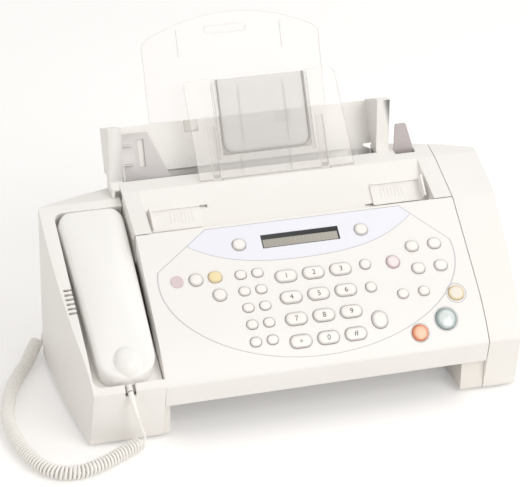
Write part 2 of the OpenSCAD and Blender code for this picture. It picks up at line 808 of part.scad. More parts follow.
module paper_support() {
    half = support_w / 2;
    top = feeder_l + support_l;
    arc_r = 158;
    arc_c = top - arc_r;
    color([0.9, 0.93, 0.93, 0.35])
        on_feeder()
            difference() {
                union() {
                    translate([support_x, 2.25, 0])
                        rotate([90, 0, 0])
                            linear_extrude(2)
                                polygon(concat([[half, feeder_l + 0.3], [half, top - 22]],
                                    [for (a = [27:-3:-27]) [arc_r * sin(a), arc_c + arc_r * cos(a)]],
                                    [[-half, top - 22], [-half, feeder_l + 0.3]]));
                    for (x = support_tab_x)
                        block(x - 6, 0.25, feeder_l - 9.7, x + 6, 1.2, feeder_l + 1);
                    for (x = [support_x - 46, support_x + 44])
                        block(x - 0.8, -0.8, top - 34, x + 0.8, 1, top - 12);
                }
                translate([support_x - 19, 5, top - 14])
                    rotate([90, 0, 0]) {
                        cylinder(h = 8, r = 3);
                        translate([30, 0, 0])
                            cylinder(h = 8, r = 3);
                    }
                block(support_x - 19, -3, top - 17, support_x + 11, 5, top - 11);
            }
}

module edge_guide() {
    x0 = deck_left + post_w + 0.6;
    color("#8f8c8b")
        on_feeder()
            difference() {
                union() {
                    translate([0, -0.3, 0])
                        rotate([90, 0, 0])
                            linear_extrude(1.6)
                                polygon([[x0, -10], [x0 + 44, -10], [x0 + 27, feeder_l - 6],
                                    [x0, feeder_l - 6]]);
                    slab(x0, -15, x0 + 2.4, -0.3, 1, -10, feeder_l - 6);
                    for (z = [4, 20])
                        block(x0 + 1, -6, z, x0 + 12, -0.5, z + 1.4);
                }
                block(x0 + 18, -5, 2, x0 + 23, 1, 25);
            }
}

module release_lever() {
    color("#a5a1a0") {
        translate([0, lever_y + 1.5, lever_z])
            rotate([90, 0, 0])
                linear_extrude(3)
                    polygon([[lever_x, -2.5], [lever_x + 17, -2.5], [lever_x + 17, 9],
                        [lever_x + 9, lever_h], [lever_x + 1, lever_h], [lever_x, lever_h - 1]]);
        bar_x(lever_x - 4, lever_x + 21, lever_y, lever_z, lever_r);
    }
}

module lift_plate() {
    color("#b8bcc0")
        on_feeder()
            difference() {
                union() {
                    block(support_x - 87, 0.8, lift_z0 - lift_len, support_x + 97, 2.4, lift_z0 - 1);
                    bar_x(support_x - 96.5, support_x + 106.5, wall / 2 + 0.3, lift_z0, 1.5);
                    block(support_x - 87, 0.8, lift_z0 - 1.5, support_x + 97, 2.4, lift_z0 + 0.5);
                }
                for (x = [-70, 0, 70])
                    block(support_x + x - 8, -1, lift_z0 - 40, support_x + x + 8, 4, lift_z0 - 18);
            }
}

module pick_roller() {
    color("#5a5856") {
        bar_x(frame_xl, frame_xr + frame_t + 4, pick_y, pick_z, shaft_r);
        for (x = [-70, -9, 52])
            bar_x(x, x + 18, pick_y, pick_z, pick_r);
    }
}

// ---- Print engine ----

function chute_at(y) = chute_z + (y - panel_y) * tan(panel_tilt);
function under_z(y) = panel_z + (y - panel_y) * tan(panel_tilt) - panel_t / cos(panel_tilt);
function panel_s(y, n) = (panel_y - y - n * sin(panel_tilt)) / cos(panel_tilt);

module side_frame(x0, studs) {
    color("#c4c7ca")
        along_x(x0, x0 + frame_t)
            difference() {
                union() {
                    polygon([[-58, floor_top], [-58, 36], [-92, 36], [-92, chute_at(-92)],
                        [-15, chute_at(-15)], [-12, 104], [40, 104], [51, 70], [51, floor_top]]);
                    polygon([[hinge_y - hinge_ring, 95], [hinge_y + hinge_ring, 95],
                        [hinge_y + hinge_ring, hinge_z], [hinge_y - hinge_ring, hinge_z]]);
                    translate([hinge_y, hinge_z])
                        circle(hinge_ring);
                }
                translate([hinge_y, hinge_z])
                    circle(hinge_r + run_gap);
                translate([rod_y, rod_z])
                    circle(rod_r + run_gap);
                for (c = [[feed_y, feed_z], [exit_y, feed_z], [pick_y, pick_z], [doc_y, doc_z]])
                    translate(c)
                        circle(shaft_r + run_gap);
                for (c = studs)
                    translate(c)
                        circle(shaft_r);
            }
}

module print_chassis() {
    side_frame(frame_xl, []);
    side_frame(frame_xr, []);
    inner = frame_xl + frame_t;
    color("#c4c7ca") {
        block(inner, -42, 52, frame_xr, -38, 60);
        block(inner, -38, 44, frame_xr, -3, 48);
        along_x(exit_xl + 0.2, exit_xr - 0.2)
            polygon([[-58, 34], [-58, 32], [-104, 10], [-105, 11.5]]);
        along_x(inner, frame_xr)
            polygon([[25, 50], [27, 50], [29.4, 56], [27.4, 56]]);
        along_x(inner, pulley_xr - 16)
            polygon([[27.4, 56], [29.4, 56], [38, 80], [36, 80]]);
        difference() {
            block(pulley_xr - 15, 17, 56, frame_xr, 18.5, 84);
            translate([pulley_xr, 16, belt_z])
                rotate([-90, 0, 0])
                    cylinder(h = 5, r = 1.5 + run_gap);
        }
        difference() {
            block(inner, 17.5, 60, pulley_xl + 8, 19, 84);
            translate([pulley_xl, 16, belt_z])
                rotate([-90, 0, 0])
                    cylinder(h = 5, r = 2);
        }
        bar_x(frame_xr + frame_t, gear_x + gear_w + 0.3, idler_y, feed_z, shaft_r);
        bar_x(gear_x + gear_w + 0.3, gear_x + gear_w + 1.3, idler_y, feed_z, shaft_r + 1.5);
        translate([pulley_xl, belt_y - 3, belt_z])
            rotate([-90, 0, 0])
                cylinder(h = 8, r = 2);
    }
    color("#dfe2e4")
        bar_x(frame_xl - 1, frame_xr + frame_t + 1, rod_y, rod_z, rod_r);
    color("#8a8d90")
        for (x = [frame_xl + frame_t, frame_xr - 10], y = [-52, 20]) {
            difference() {
                block(x, y, floor_top, x + 10, y + 10, floor_top + 1.5);
                translate([x + 5, y + 5, floor_top - 1])
                    cylinder(h = 4, r = 1.6);
            }
            translate([x + 5, y + 5, floor_top + 1.5])
                cylinder(h = 1.8, r = 2.8);
            translate([x + 5, y + 5, floor_top])
                cylinder(h = 2, r = 1.5);
        }
}

module document_chute() {
    color("#d9d4cc")
        on_panel()
            difference() {
                block(frame_xl + frame_t, -sensor_s - 31, chute_n - chute_t, frame_xr,
                    chute_n * tan(panel_tilt) - 0.5, chute_n);
                block(-23, -doc_s - 8.6, chute_n - chute_t - 1, 51, -doc_s + 8.6, chute_n + 1);
                block(-108, -sensor_s - 5, chute_n - chute_t - 1, 128, -sensor_s + 5, chute_n + 1);
            }
}

module image_sensor() {
    color("#3c4044")
        on_panel()
            difference() {
                block(-112, -sensor_s - 7, chute_n - chute_t - 9, 132, -sensor_s + 7, chute_n - chute_t);
                block(-106, -sensor_s - 4, chute_n - chute_t - 7, 126, -sensor_s + 4,
                    chute_n - chute_t + 1);
            }
    color([0.8, 0.9, 0.88, 0.4])
        on_panel()
            block(-107.6, -sensor_s - 4.6, chute_n - chute_t, 127.6, -sensor_s + 4.6, chute_n - 0.2);
}

module document_roller() {
    color("#4b4a49") {
        bar_x(frame_xl - 1, frame_xr + frame_t + 1, doc_y, doc_z, shaft_r);
        bar_x(-20, 48, doc_y, doc_z, doc_r);
    }
}

module feed_roller() {
    color("#55534f") {
        bar_x(frame_xl - 1, gear_x, feed_y, feed_z, shaft_r);
        bar_x(frame_xl + frame_t + 3, frame_xr - 3, feed_y, feed_z, feed_r);
        bar_x(gear_x, gear_x + gear_w, feed_y, feed_z, shaft_r + 1);
    }
    color("#e4e0d6")
        gear_x_at(feed_y, feed_z, feed_teeth, shaft_r + 0.5, 0);
}

module idler_gear() {
    color("#e4e0d6")
        gear_x_at(idler_y, feed_z, idler_teeth, shaft_r + run_gap, 180 / idler_teeth);
}

module exit_roller() {
    color("#55534f") {
        bar_x(frame_xl - 1, gear_x, exit_y, feed_z, shaft_r);
        for (x = [-90, -45, 0, 45, 90])
            bar_x(x, x + 22, exit_y, feed_z, exit_r);
        bar_x(gear_x, gear_x + gear_w, exit_y, feed_z, shaft_r + 1);
    }
    color("#e4e0d6")
        gear_x_at(exit_y, feed_z, exit_teeth, shaft_r + 0.5, 0);
}

module motor_gear() {
    color("#d8b45c")
        gear_x_at(motor_y, motor_z, motor_teeth, 1.5 + run_gap, 15);
}

module drive_motors() {
    color("#9da2a6") {
        bar_x(gear_x + gear_w + 3.5, gear_x + gear_w + 17, motor_y, motor_z, 15);
        bar_x(gear_x, gear_x + gear_w + 4, motor_y, motor_z, 1.5);
        block(gear_x + gear_w + 2, motor_y - 12, motor_z - 15, gear_x + gear_w + 3.5, motor_y + 18,
            motor_z + 7);
        for (p = [[-9, -12], [14, 0]])
            bar_x(frame_xr + frame_t, gear_x + gear_w + 2, motor_y + p[0], motor_z + p[1], 2);
    }
    color("#9da2a6")
        translate([pulley_xr, 0, belt_z])
            rotate([-90, 0, 0]) {
                translate([0, 0, 18.5])
                    cylinder(h = 22, r = 13);
                translate([0, 0, belt_y - 3.5])
                    cylinder(h = 10, r = 1.5);
            }
}

module print_carriage() {
    x0 = carriage_x0;
    x1 = carriage_x0 + carriage_w;
    color("#56585b")
        difference() {
            union() {
                block(x0, -36, 52, x1, -3, 70);
                block(x0, -8, 66, x1, 8, 84);
                block(x0 + 10, 6, 62, x0 + 26, 18, 64.2);
                block(x0 + 10, 6, 66.9, x0 + 26, 18, 69);
                block(x0, -43.5, 61, x1, -34, 66);
            }
            block(x0 + 3, -33, 55, x1 - 3, -9, 90);
            block(x0 + 8, -28, 50, x1 - 8, -14, 60);
            bar_x(x0 - 1, x1 + 1, rod_y, rod_z, rod_r + run_gap);
        }
}

module ink_cartridge() {
    x0 = carriage_x0 + 3.3;
    x1 = carriage_x0 + carriage_w - 3.3;
    color("#2f3133") {
        block(x0, -32.7, 55.2, x1, -9.3, 82);
        block(x0 + 6, -27, 51, x1 - 6, -15, 55.2);
    }
}

module drive_belt() {
    color("#3a3a3a")
        translate([0, belt_y + belt_w / 2, belt_z])
            rotate([90, 0, 0])
                difference() {
                    union() {
                        translate([pulley_xl, 0, 0])
                            cylinder(h = belt_w, r = pulley_r + belt_t);
                        translate([pulley_xr, 0, 0])
                            cylinder(h = belt_w, r = pulley_r + belt_t);
                        block(pulley_xl, -pulley_r - belt_t, 0, pulley_xr, pulley_r + belt_t, belt_w);
                    }
                    for (x = [pulley_xl, pulley_xr])
                        translate([x, 0, -1])
                            cylinder(h = belt_w + 2, r = pulley_r);
                    block(pulley_xl, -pulley_r, -1, pulley_xr, pulley_r, belt_w + 1);
                }
    color("#e4e0d6")
        for (x = [[pulley_xl, 2 + run_gap], [pulley_xr, 1.5 + run_gap]])
            translate([x[0], belt_y + belt_w / 2, belt_z])
                rotate([90, 0, 0])
                    difference() {
                        cylinder(h = belt_w, r = pulley_r - run_gap);
                        translate([0, 0, -1])
                            cylinder(h = belt_w + 2, r = x[1]);
                    }
}

module main_board() {
    color("#3d7a4f")
        difference() {
            block(-110, -30, board_z, 60, 55, board_z + board_t);
            for (x = [-105, 55], y = [-25, 40])
                translate([x, y, board_z - 1])
                    cylinder(h = 4, r = 1.6);
        }
    color("#cfc9bd")
        for (x = [-105, 55], y = [-25, 40]) {
            translate([x, y, floor_top])
                cylinder(h = board_z - floor_top, r = 3);
            translate([x, y, board_z + board_t])
                cylinder(h = 1.8, r = 2.8);
            translate([x, y, board_z])
                cylinder(h = board_t, r = 1.5);
        }
    color("#2b2d30")
        for (p = [[-80, -12, 28, 28, 3], [-40, -5, 20, 30, 2.6], [-5, -15, 24, 14, 2.6],
                [25, -10, 16, 24, 2.6], [-50, 32, 30, 10, 8], [10, 30, 34, 8, 9]])
            block(p[0], p[1], board_z + board_t, p[0] + p[2], p[1] + p[3], board_z + board_t + p[4]);
    color("#34506b")
        for (x = [-8, 4, 48])
            translate([x, 16, board_z + board_t])
                cylinder(h = 12, r = 4);
}

module power_supply() {
    x0 = 156;
    x1 = 178;
    color("#b99a5b")
        block(x0, -84, board_z, x1, -6, board_z + board_t);
    color("#cfc9bd")
        for (y = [-78, -12])
            translate([(x0 + x1) / 2, y, floor_top])
                cylinder(h = board_z - floor_top, r = 3);
    color("#e2c56a")
        block(x0 + 2, -52, board_z + board_t, x1 - 2, -30, board_z + 24);
    color("#34506b")
        for (y = [-72, -19])
            translate([(x0 + x1) / 2, y, board_z + board_t])
                cylinder(h = 26, r = 8);
}

module speaker() {
    z = 52;
    color("#3b3b3c") {
        translate([-154, -52, z])
            cylinder(h = 4, r = 26);
        translate([-154, -52, z - 8])
            cylinder(h = 8, r = 14);
        for (a = [30:120:270])
            translate([-154 + 21 * cos(a), -52 + 21 * sin(a), floor_top])
                cylinder(h = z - floor_top, r = 3);
    }
}

module rear_sockets() {
    y1 = rear_y(jack_x - 7) - wall - fit;
    color("#35373a")
        difference() {
            block(jack_x - 7, y1 - 16, floor_top, jack_x + 7, y1, jack_z + 7);
            block(jack_x - plug_w / 2 - 0.2, y1 - 13, jack_z - plug_h / 2 - 0.2,
                jack_x + plug_w / 2 + 0.2, y1 + 1, jack_z + plug_h / 2 + 0.2);
        }
    line_y = rear_y(line_x - 14) - wall - 0.3;
    color("#35373a")
        difference() {
            block(line_x - 14.5, line_y - 17, board_z + board_t, line_x + 14.5, line_y, board_z + 16);
            for (x = [line_x - 7, line_x + 7])
                block(x - 5, line_y - 13, board_z + 4, x + 5, line_y + 1, board_z + 12);
        }
    inlet_y = rear_y(inlet_x + 14) - wall - 0.3;
    color("#35373a")
        difference() {
            block(inlet_x - 14, inlet_y - 20, floor_top, inlet_x + 14, inlet_y, 34);
            block(inlet_x - 10.5, inlet_y - 16, 16.5, inlet_x + 10.5, inlet_y + 1, 29.5);
        }
    color("#c9ccce")
        for (p = [[-6, 21], [0, 25], [6, 21]])
            block(inlet_x + p[0] - 1, inlet_y - 16, p[1] - 2, inlet_x + p[0] + 1, inlet_y - 3, p[1] + 2);
}

// ---- Handset ----

module handset_outline(inset) {
    e = handset_ear_w / 2 - inset;
    m = handset_mouth_w / 2 - inset;
    r = 12;
    polygon(concat(
        [for (a = [90:15:180]) [handset_x - e + r + r * cos(a), -handset_t0 - inset - r + r * sin(a)]],
        [for (a = [180:15:270]) [handset_x - m + r + r * cos(a), -handset_t1 + inset + r + r * sin(a)]],
        [for (a = [270:15:360]) [handset_x + m - r + r * cos(a), -handset_t1 + inset + r + r * sin(a)]],
        [for (a = [0:15:90]) [handset_x + e - r + r * cos(a), -handset_t0 - inset - r + r * sin(a)]]));
}

// The outer half: a long crown and a cross crown meet in its plan outline.
module handset_shell(inset, n0) {
    long_r = 420;
    cross_r = 58;
    mid_t = (handset_t0 + handset_t1) / 2;
    intersection() {
        translate([0, 0, n0])
            linear_extrude(handset_proud - n0 - inset)
                handset_outline(inset);
        translate([0, -mid_t, handset_proud - inset - long_r])
            rotate([0, 90, 0])
                translate([0, 0, -220])
                    cylinder(h = 200, r = long_r, $fn = 96);
        translate([handset_x, 0, handset_proud - inset - cross_r])
            rotate([90, 0, 0])
                cylinder(h = 200, r = cross_r, $fn = 96);
    }
}

module handset_back() {
    color("#fbfaf6")
        in_bay()
            difference() {
                union() {
                    handset_shell(0, split_n);
                    translate([handset_x, -handset_t1 + dome_r, 0])
                        cylinder(h = handset_proud - 0.4, r = dome_r);
                    translate([handset_x, -handset_t1 + dome_r, handset_proud - 0.4])
                        cylinder(h = 1.6, r1 = dome_r, r2 = dome_r - 3);
                }
                handset_shell(handset_wall, split_n - 1);
            }
}

// Side view of the inner half: deep cups at both ends and a shallow grip.
module handset_inner_profile(inset) {
    polygon([[-handset_t0 + 1, split_n + (inset > 0 ? 1 : 0)], [-handset_t0 + 1, cup_n + inset + 2],
        [-handset_t0 - 2, cup_n + inset], [-handset_t0 - 44 + inset, cup_n + inset],
        [-handset_t0 - 54 + inset, grip_n + inset], [-handset_t1 + 50 - inset, grip_n + inset],
        [-handset_t1 + 42 - inset, cup_n + inset], [-handset_t1 + 2, cup_n + inset],
        [-handset_t1 - 1, cup_n + inset + 2], [-handset_t1 - 1, split_n + (inset > 0 ? 1 : 0)]]);
}

module handset_face() {
    cup = 13;
    color("#f3ede3")
        in_bay()
            difference() {
                union() {
                    intersection() {
                        translate([0, 0, cup_n - 1])
                            linear_extrude(split_n - cup_n + 1)
                                handset_outline(0);
                        along_x(handset_x - 40, handset_x + 40)
                            handset_inner_profile(0);
                    }
                    translate([handset_x, -handset_t1 + 3, gland_n])
                        rotate([90, 0, 0])
                            cylinder(h = gland_l + 3, r = gland_r - 0.9);
                }
                intersection() {
                    translate([0, 0, cup_n - 2])
                        linear_extrude(split_n - cup_n + 4)
                            handset_outline(handset_wall);
                    along_x(handset_x - 40, handset_x + 40)
                        handset_inner_profile(handset_wall);
                }
                for (c = [-handset_t0 - 22, -handset_t1 + 20], a = [0:45:315])
                    translate([handset_x + 6 * cos(a), c + 6 * sin(a), cup_n - 1])
                        cylinder(h = 4, r = 1);
            }
    color("#4b4b4d")
        in_bay()
            for (c = [-handset_t0 - 22, -handset_t1 + 20])
                translate([handset_x, c, cup_n + handset_wall])
                    cylinder(h = 7, r = cup);
}

module hook_switch() {
    color("#e8e4da")
        in_bay()
            translate([handset_x, -hook_t, 0]) {
                translate([0, 0, -bay_depth - wall - hook_tube - 6])
                    cylinder(h = hook_tube + wall + 6.3, r = hook_r);
                translate([0, 0, -bay_depth - wall - hook_tube - 6])
                    cylinder(h = 1.4, r = hook_r + 2.4);
            }
}

// ---- Control panel ----

function pill(w, h, r) = [for (q = [0:3], a = [0:15:90])
    [(q == 0 || q == 3 ? 1 : -1) * (w / 2 - r) + r * cos(a + 90 * q),
        (q < 2 ? 1 : -1) * (h / 2 - r) + r * sin(a + 90 * q)]];

// Keys as [x, s, width, height].
function number_key_at(i) = [number_x0 + number_px * (i % 3), number_s0 + number_ps * floor(i / 3),
    number_w, number_h];
number_keys = [for (i = [0:number_rows * 3 - 1]) number_key_at(i)];
one_touch = [for (c = [0:1], r = [0:touch_rows - 1])
    [touch_x0 + touch_px * c, touch_s0 + touch_ps * r, 9.5, 8]];
start_keys = [[start_at[0], start_at[1], start_d, start_d]];
stop_keys = [[stop_at[0], stop_at[1], stop_d, stop_d]];
mode_keys = [[mode_at[0], mode_at[1], 13.5, 12.5]];
menu_keys = concat([for (k = [-1, 1]) [display_x + k * display_key_dx, display_s, 11.5, 10.5]],
    [for (p = arrow_at) [p[0], p[1], 11.5, 10]]);
function_keys = concat([for (p = left_at) [p[0], p[1], 11.5, 11]],
    [[copy_at[0], copy_at[1], 11.5, 10]]);
dialling_keys = concat([[redial_at[0], redial_at[1], 9.5, 9], [pause_at[0], pause_at[1], 9.5, 9],
    [hash_at[0], hash_at[1], 13.5, 15], [menu_at[0], menu_at[1], 11.5, 11.5]],
    [for (p = volume_at) [p[0], p[1], 9.5, 8.5]]);
all_keys = concat(number_keys, one_touch, start_keys, stop_keys, mode_keys, menu_keys,
    function_keys, dialling_keys);
lamp_d = 10.5;

module key_block(k, grow, n0, n1) {
    w = k[2] + 2 * grow;
    h = k[3] + 2 * grow;
    on_key(k[1])
        translate([k[0], 0, n0])
            linear_extrude(n1 - n0)
                polygon(pill(w, h, min(w, h) / 2 - 0.1));
}

// How far below the surface a key's stem ends, above the flat key mat.
function stem_n(s) = let (a = panel_slope(s) - panel_tilt,
    drop = (panel_z - panel_at(s)[1]) * cos(panel_tilt) - (panel_y - panel_at(s)[0]) * sin(panel_tilt))
    (mat_top + drop) / cos(a) + key_travel + key_float + stem_r * tan(a);

module key_caps(keys, rise) {
    for (k = keys) {
        key_block(k, 0, -key_depth, rise - 0.6);
        key_block(k, -0.5, rise - 0.7, rise);
        key_block(k, 0.9, -key_depth, -key_depth + flange_t);
        on_key(k[1])
            translate([k[0], 0, stem_n(k[1])])
                cylinder(h = max(0.1, -key_depth - stem_n(k[1]) + 0.1), r = stem_r);
    }
}

module panel_cover() {
    outer = concat(panel_line(0), [[front_face(band_z), band_z],
        [front_face(band_z) + band_depth, band_z],
        [front_face(band_z) + band_depth, under_z(front_face(band_z) + band_depth)],
        [panel_y, under_z(panel_y)]]);
    inner = concat(
        [[panel_y - wall, panel_z - wall / cos(panel_tilt) - wall * tan(panel_tilt)]],
        [for (i = [1:len(panel_line(wall)) - 1]) panel_line(wall)[i]],
        [[front_face(band_z) + wall, band_z - 1], [panel_y - wall, band_z - 1]]);
    inner_x0 = panel_left + wall;
    inner_x1 = panel_right - wall;
    color("#fbf7f1")
        difference() {
            union() {
                difference() {
                    along_x(panel_left, panel_right)
                        polygon(outer);
                    along_x(inner_x0, inner_x1)
                        polygon(inner);
                }
                on_panel()
                    for (p = boss_at) {
                        translate([p[0], -p[1], board_top])
                            cylinder(h = -board_top - 1, r = 3.4);
                        translate([p[0], -p[1], under_n + base_t])
                            cylinder(h = board_top - under_n - base_t + 1, r = 2.2);
                    }
            }
            for (k = all_keys)
                key_block(k, key_gap, -wall - 1, 1);
            on_panel() {
                block(display_x - display_w / 2, -display_s - display_h / 2, -wall - 1,
                    display_x + display_w / 2, -display_s + display_h / 2, 1);
                translate([lamp_at[0], -lamp_at[1], -wall - 1])
                    cylinder(h = wall + 2, r = lamp_d / 2);
                for (p = boss_at)
                    translate([p[0], -p[1], under_n])
                        cylinder(h = 9, r = 1.2);
            }
            for (x = [inner_x0 - 0.01, frame_xr - 0.8])
                block(x, hinge_y - hinge_ring - 0.5, band_z, x + (x < 0 ? 3.2 : 3.6), panel_y + 1,
                    hinge_z + hinge_ring + 0.7);
        }
    color("#fbf7f1") {
        bar_x(inner_x0 - 1, frame_xl + frame_t + 1, hinge_y, hinge_z, hinge_r);
        bar_x(frame_xr - 1, inner_x1 + 1, hinge_y, hinge_z, hinge_r);
    }
}

module panel_base() {
    y1 = -panel_s(panel_y - wall - fit, under_n);
    y0 = -panel_s(front_face(band_z) + band_depth, under_n) - 1;
    inner_x0 = panel_left + wall + fit;
    inner_x1 = panel_right - wall - fit;
    color("#e7e2da")
        on_panel()
            difference() {
                union() {
                    block(inner_x0, y0, under_n, inner_x1, y1, under_n + base_t);
                    block(-18, -doc_s - 7, chute_n + 1.8, 46, -doc_s + 7, under_n + 0.5);
                    block(-104, -sensor_s - 5, chute_n + 0.5, 124, -sensor_s + 5, under_n + 0.5);
                }
                block(inner_x0 - 1, -30, under_n - 1, inner_x0 + 4, 20, under_n + base_t + 1);
                block(frame_xr - 2, -30, under_n - 1, inner_x1 + 1, 20, under_n + base_t + 1);
                for (p = boss_at)
                    translate([p[0], -p[1], under_n - 1])
                        cylinder(h = base_t + 2, r = 1.6);
            }
    color("#8a8d90")
        on_panel()
            for (p = boss_at)
                translate([p[0], -p[1], 0]) {
                    translate([0, 0, under_n - 1.6])
                        cylinder(h = 1.6, r = 2.8);
                    translate([0, 0, under_n - 0.5])
                        cylinder(h = 9, r = 1.15);
                }
}

module display_module() {
    color("#2e3232")
        on_panel()
            block(display_x - display_w / 2 - 4, -display_s - display_h / 2 - 2.5, board_top,
                display_x + display_w / 2 + 4, -display_s + display_h / 2 + 0.2, -wall - 0.3);
    color("#9aa08f")
        on_panel()
            block(display_x - display_w / 2 + 0.2, -display_s - display_h / 2 + 0.2, -wall - 0.3,
                display_x + display_w / 2 - 0.2, -display_s + display_h / 2 - 0.2, -0.9);
    color("#dba6a6")
        on_panel()
            translate([lamp_at[0], -lamp_at[1], 0]) {
                translate([0, 0, board_top])
                    cylinder(h = -board_top + 0.8, r = lamp_d / 2 - 0.1);
                translate([0, 0, board_top])
                    cylinder(h = 2, r = lamp_d / 2 + 1);
            }
}

module key_board() {
    color("#3d7a4f")
        on_panel()
            difference() {
                block(-106, -118, board_top - board_t, 146, -14, board_top);
                block(frame_xr - 1, -22.5, board_top - board_t - 1, 147, -13, board_top + 1);
                for (p = boss_at)
                    translate([p[0], -p[1], board_top - board_t - 1])
                        cylinder(h = 4, r = 2.2 + 0.1);
            }
    color("#6d6f72")
        on_panel()
            difference() {
                union() {
                    block(-88, -117, board_top, 144, -33, mat_top);
                    for (k = [-1, 1])
                        block(display_x + k * display_key_dx - 8, -display_s - 8, board_top,
                            display_x + k * display_key_dx + 8, -display_s + 5, mat_top);
                }
                for (p = boss_at)
                    translate([p[0], -p[1], board_top - 1])
                        cylinder(h = 4, r = 4);
            }
    color("#2b2d30")
        on_panel()
            for (p = [[-60, -80, 30, 22], [20, -60, 24, 24], [70, -95, 30, 14]])
                block(p[0], p[1], under_n + base_t + 0.2, p[0] + p[2], p[1] + p[3],
                    board_top - board_t);
}

module number_key(i) {
    color("#f7f4ee")
        key_caps([number_keys[i]], 1.8);
}

module start_key() {
    color("#9fb0ae")
        key_caps(start_keys, 2.6);
}

module stop_key() {
    color("#e0794e")
        key_caps(stop_keys, 2.4);
}

module mode_key() {
    color("#efdcab")
        key_caps(mode_keys, 1.8);
}

module one_touch_keys() {
    color("#f1ece4")
        key_caps(one_touch, 1.5);
}

module menu_keys() {
    color("#f1ece4")
        key_caps(menu_keys, 1.5);
}

module function_keys() {
    color("#f0cf7c")
        key_caps(function_keys, 1.5);
}

module dialling_keys() {
    color("#f1ece4")
        key_caps(dialling_keys, 1.5);
}

// ---- Cord ----

function unit(v) = v / norm(v);
function route_dir(p, i) = unit(p[min(i + 1, len(p) - 1)] - p[max(i - 1, 0)]);

// A tube along a route; side_ref is never along the route.
module route_tube(p, r, sides, side_ref) {
    n = len(p);
    rings = [for (i = [0:n - 1]) let (d = route_dir(p, i), u = unit(cross(side_ref, d)),
        v = cross(d, u)) for (k = [0:sides - 1])
            p[i] + r * (u * cos(360 * k / sides) + v * sin(360 * k / sides))];
    walls = [for (i = [0:n - 2], k = [0:sides - 1]) let (a = i * sides + k,
        b = i * sides + (k + 1) % sides) each [[a, a + sides, b], [b, a + sides, b + sides]]];
    caps = [[for (k = [0:sides - 1]) k], [for (k = [sides - 1:-1:0]) (n - 1) * sides + k]];
    polyhedron(points = rings, faces = concat(walls, caps));
}

module handset_cord() {
    color("#ece2d6")
        route_tube(curl_route, curl_d / 2, 12, [0, 0, 1]);
}

module cord_leads() {
    color("#ece2d6") {
        route_tube(lead_route, lead_d / 2, 8, [1, 0, 0]);
        route_tube(tail_route, lead_d / 2, 8, [0, 0, 1]);
    }
}

module cord_plug() {
    color([0.9, 0.9, 0.88, 0.6])
        block(jack_x - plug_w / 2, plug_end - plug_l, jack_z - plug_h / 2, jack_x + plug_w / 2,
            plug_end, jack_z + plug_h / 2);
}

base_pan();
rubber_feet();
left_cover();
right_cover();
deck_cover();
print_chassis();
document_chute();
image_sensor();
document_roller();
document_guide_left();
document_guide_right();
guide_pinion();
document_tray();
tray_extension();
paper_support();
edge_guide();
release_lever();
lift_plate();
pick_roller();
feed_roller();
idler_gear();
exit_roller();
motor_gear();
drive_motors();
print_carriage();
ink_cartridge();
drive_belt();
main_board();
power_supply();
speaker();
rear_sockets();
handset_back();
handset_face();
hook_switch();
handset_cord();
cord_leads();
cord_plug();
panel_cover();
panel_base();
display_module();
key_board();
number_key(0);  // number_key_1
number_key(1);  // number_key_2
number_key(2);  // number_key_3
number_key(3);  // number_key_4
number_key(4);  // number_key_5
number_key(5);  // number_key_6
number_key(6);  // number_key_7
number_key(7);  // number_key_8
number_key(8);  // number_key_9
number_key(9);  // number_key_star
number_key(10);  // number_key_0
number_key(11);  // number_key_hash
start_key();
stop_key();
mode_key();
menu_keys();
one_touch_keys();
function_keys();
dialling_keys();
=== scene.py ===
import json
import math
import bpy
import bmesh
import numpy as np
from mathutils import Matrix, Vector


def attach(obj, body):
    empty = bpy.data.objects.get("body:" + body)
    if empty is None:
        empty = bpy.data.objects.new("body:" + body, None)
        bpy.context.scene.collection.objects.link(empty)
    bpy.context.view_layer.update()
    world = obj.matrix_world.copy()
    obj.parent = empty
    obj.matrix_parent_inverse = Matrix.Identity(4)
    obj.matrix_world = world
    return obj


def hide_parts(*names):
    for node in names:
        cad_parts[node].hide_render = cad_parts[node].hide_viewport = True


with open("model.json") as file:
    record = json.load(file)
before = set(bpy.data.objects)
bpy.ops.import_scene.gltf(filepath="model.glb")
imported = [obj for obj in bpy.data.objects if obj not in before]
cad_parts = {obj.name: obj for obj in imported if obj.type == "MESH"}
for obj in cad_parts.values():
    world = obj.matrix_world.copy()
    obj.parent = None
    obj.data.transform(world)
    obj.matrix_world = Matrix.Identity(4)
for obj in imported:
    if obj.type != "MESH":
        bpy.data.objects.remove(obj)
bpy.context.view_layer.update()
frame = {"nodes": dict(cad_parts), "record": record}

# ---- Camera, floor and lamps ----
# A long lens looks down from the front left, as on a catalogue page. The floor is a
# seamless pale sheet, and large soft lamps stand over and beside the machine.
eye = Vector((-0.4725, -1.5238, 0.9871))
back = Vector((-0.2557, -0.8364, 0.4848)).normalized()
right = Vector((0.9563, -0.2924, 0.0)).normalized()
rise = back.cross(right)
roll = math.radians(1.2)
lens_x = math.cos(roll) * right + math.sin(roll) * rise
lens_y = math.cos(roll) * rise - math.sin(roll) * right
lens = bpy.data.cameras.new("catalogue_lens")
lens.lens = 149.15
lens.sensor_width = 36.0
lens.clip_start = 0.05
lens.clip_end = 60.0
camera = bpy.data.objects.new("catalogue_camera", lens)
facing = Matrix((lens_x, lens_y, back)).transposed().to_4x4()
camera.matrix_world = Matrix.Translation(eye) @ facing
bpy.context.scene.collection.objects.link(camera)
bpy.context.scene.camera = camera
bpy.context.scene.view_settings.view_transform = "Standard"


def tone(red, green, blue):
    """Linear colour of a paint chip given in screen values from 0 to 255: each value v is
    v/12.92 in its darkest part and ((v + 0.055) / 1.055) to the power 2.4 above it."""
    chip = np.array([red, green, blue], float) / 255
    linear = np.where(chip <= 0.04045, chip / 12.92, ((chip + 0.055) / 1.055) ** 2.4)
    return (*[float(v) for v in linear], 1.0)


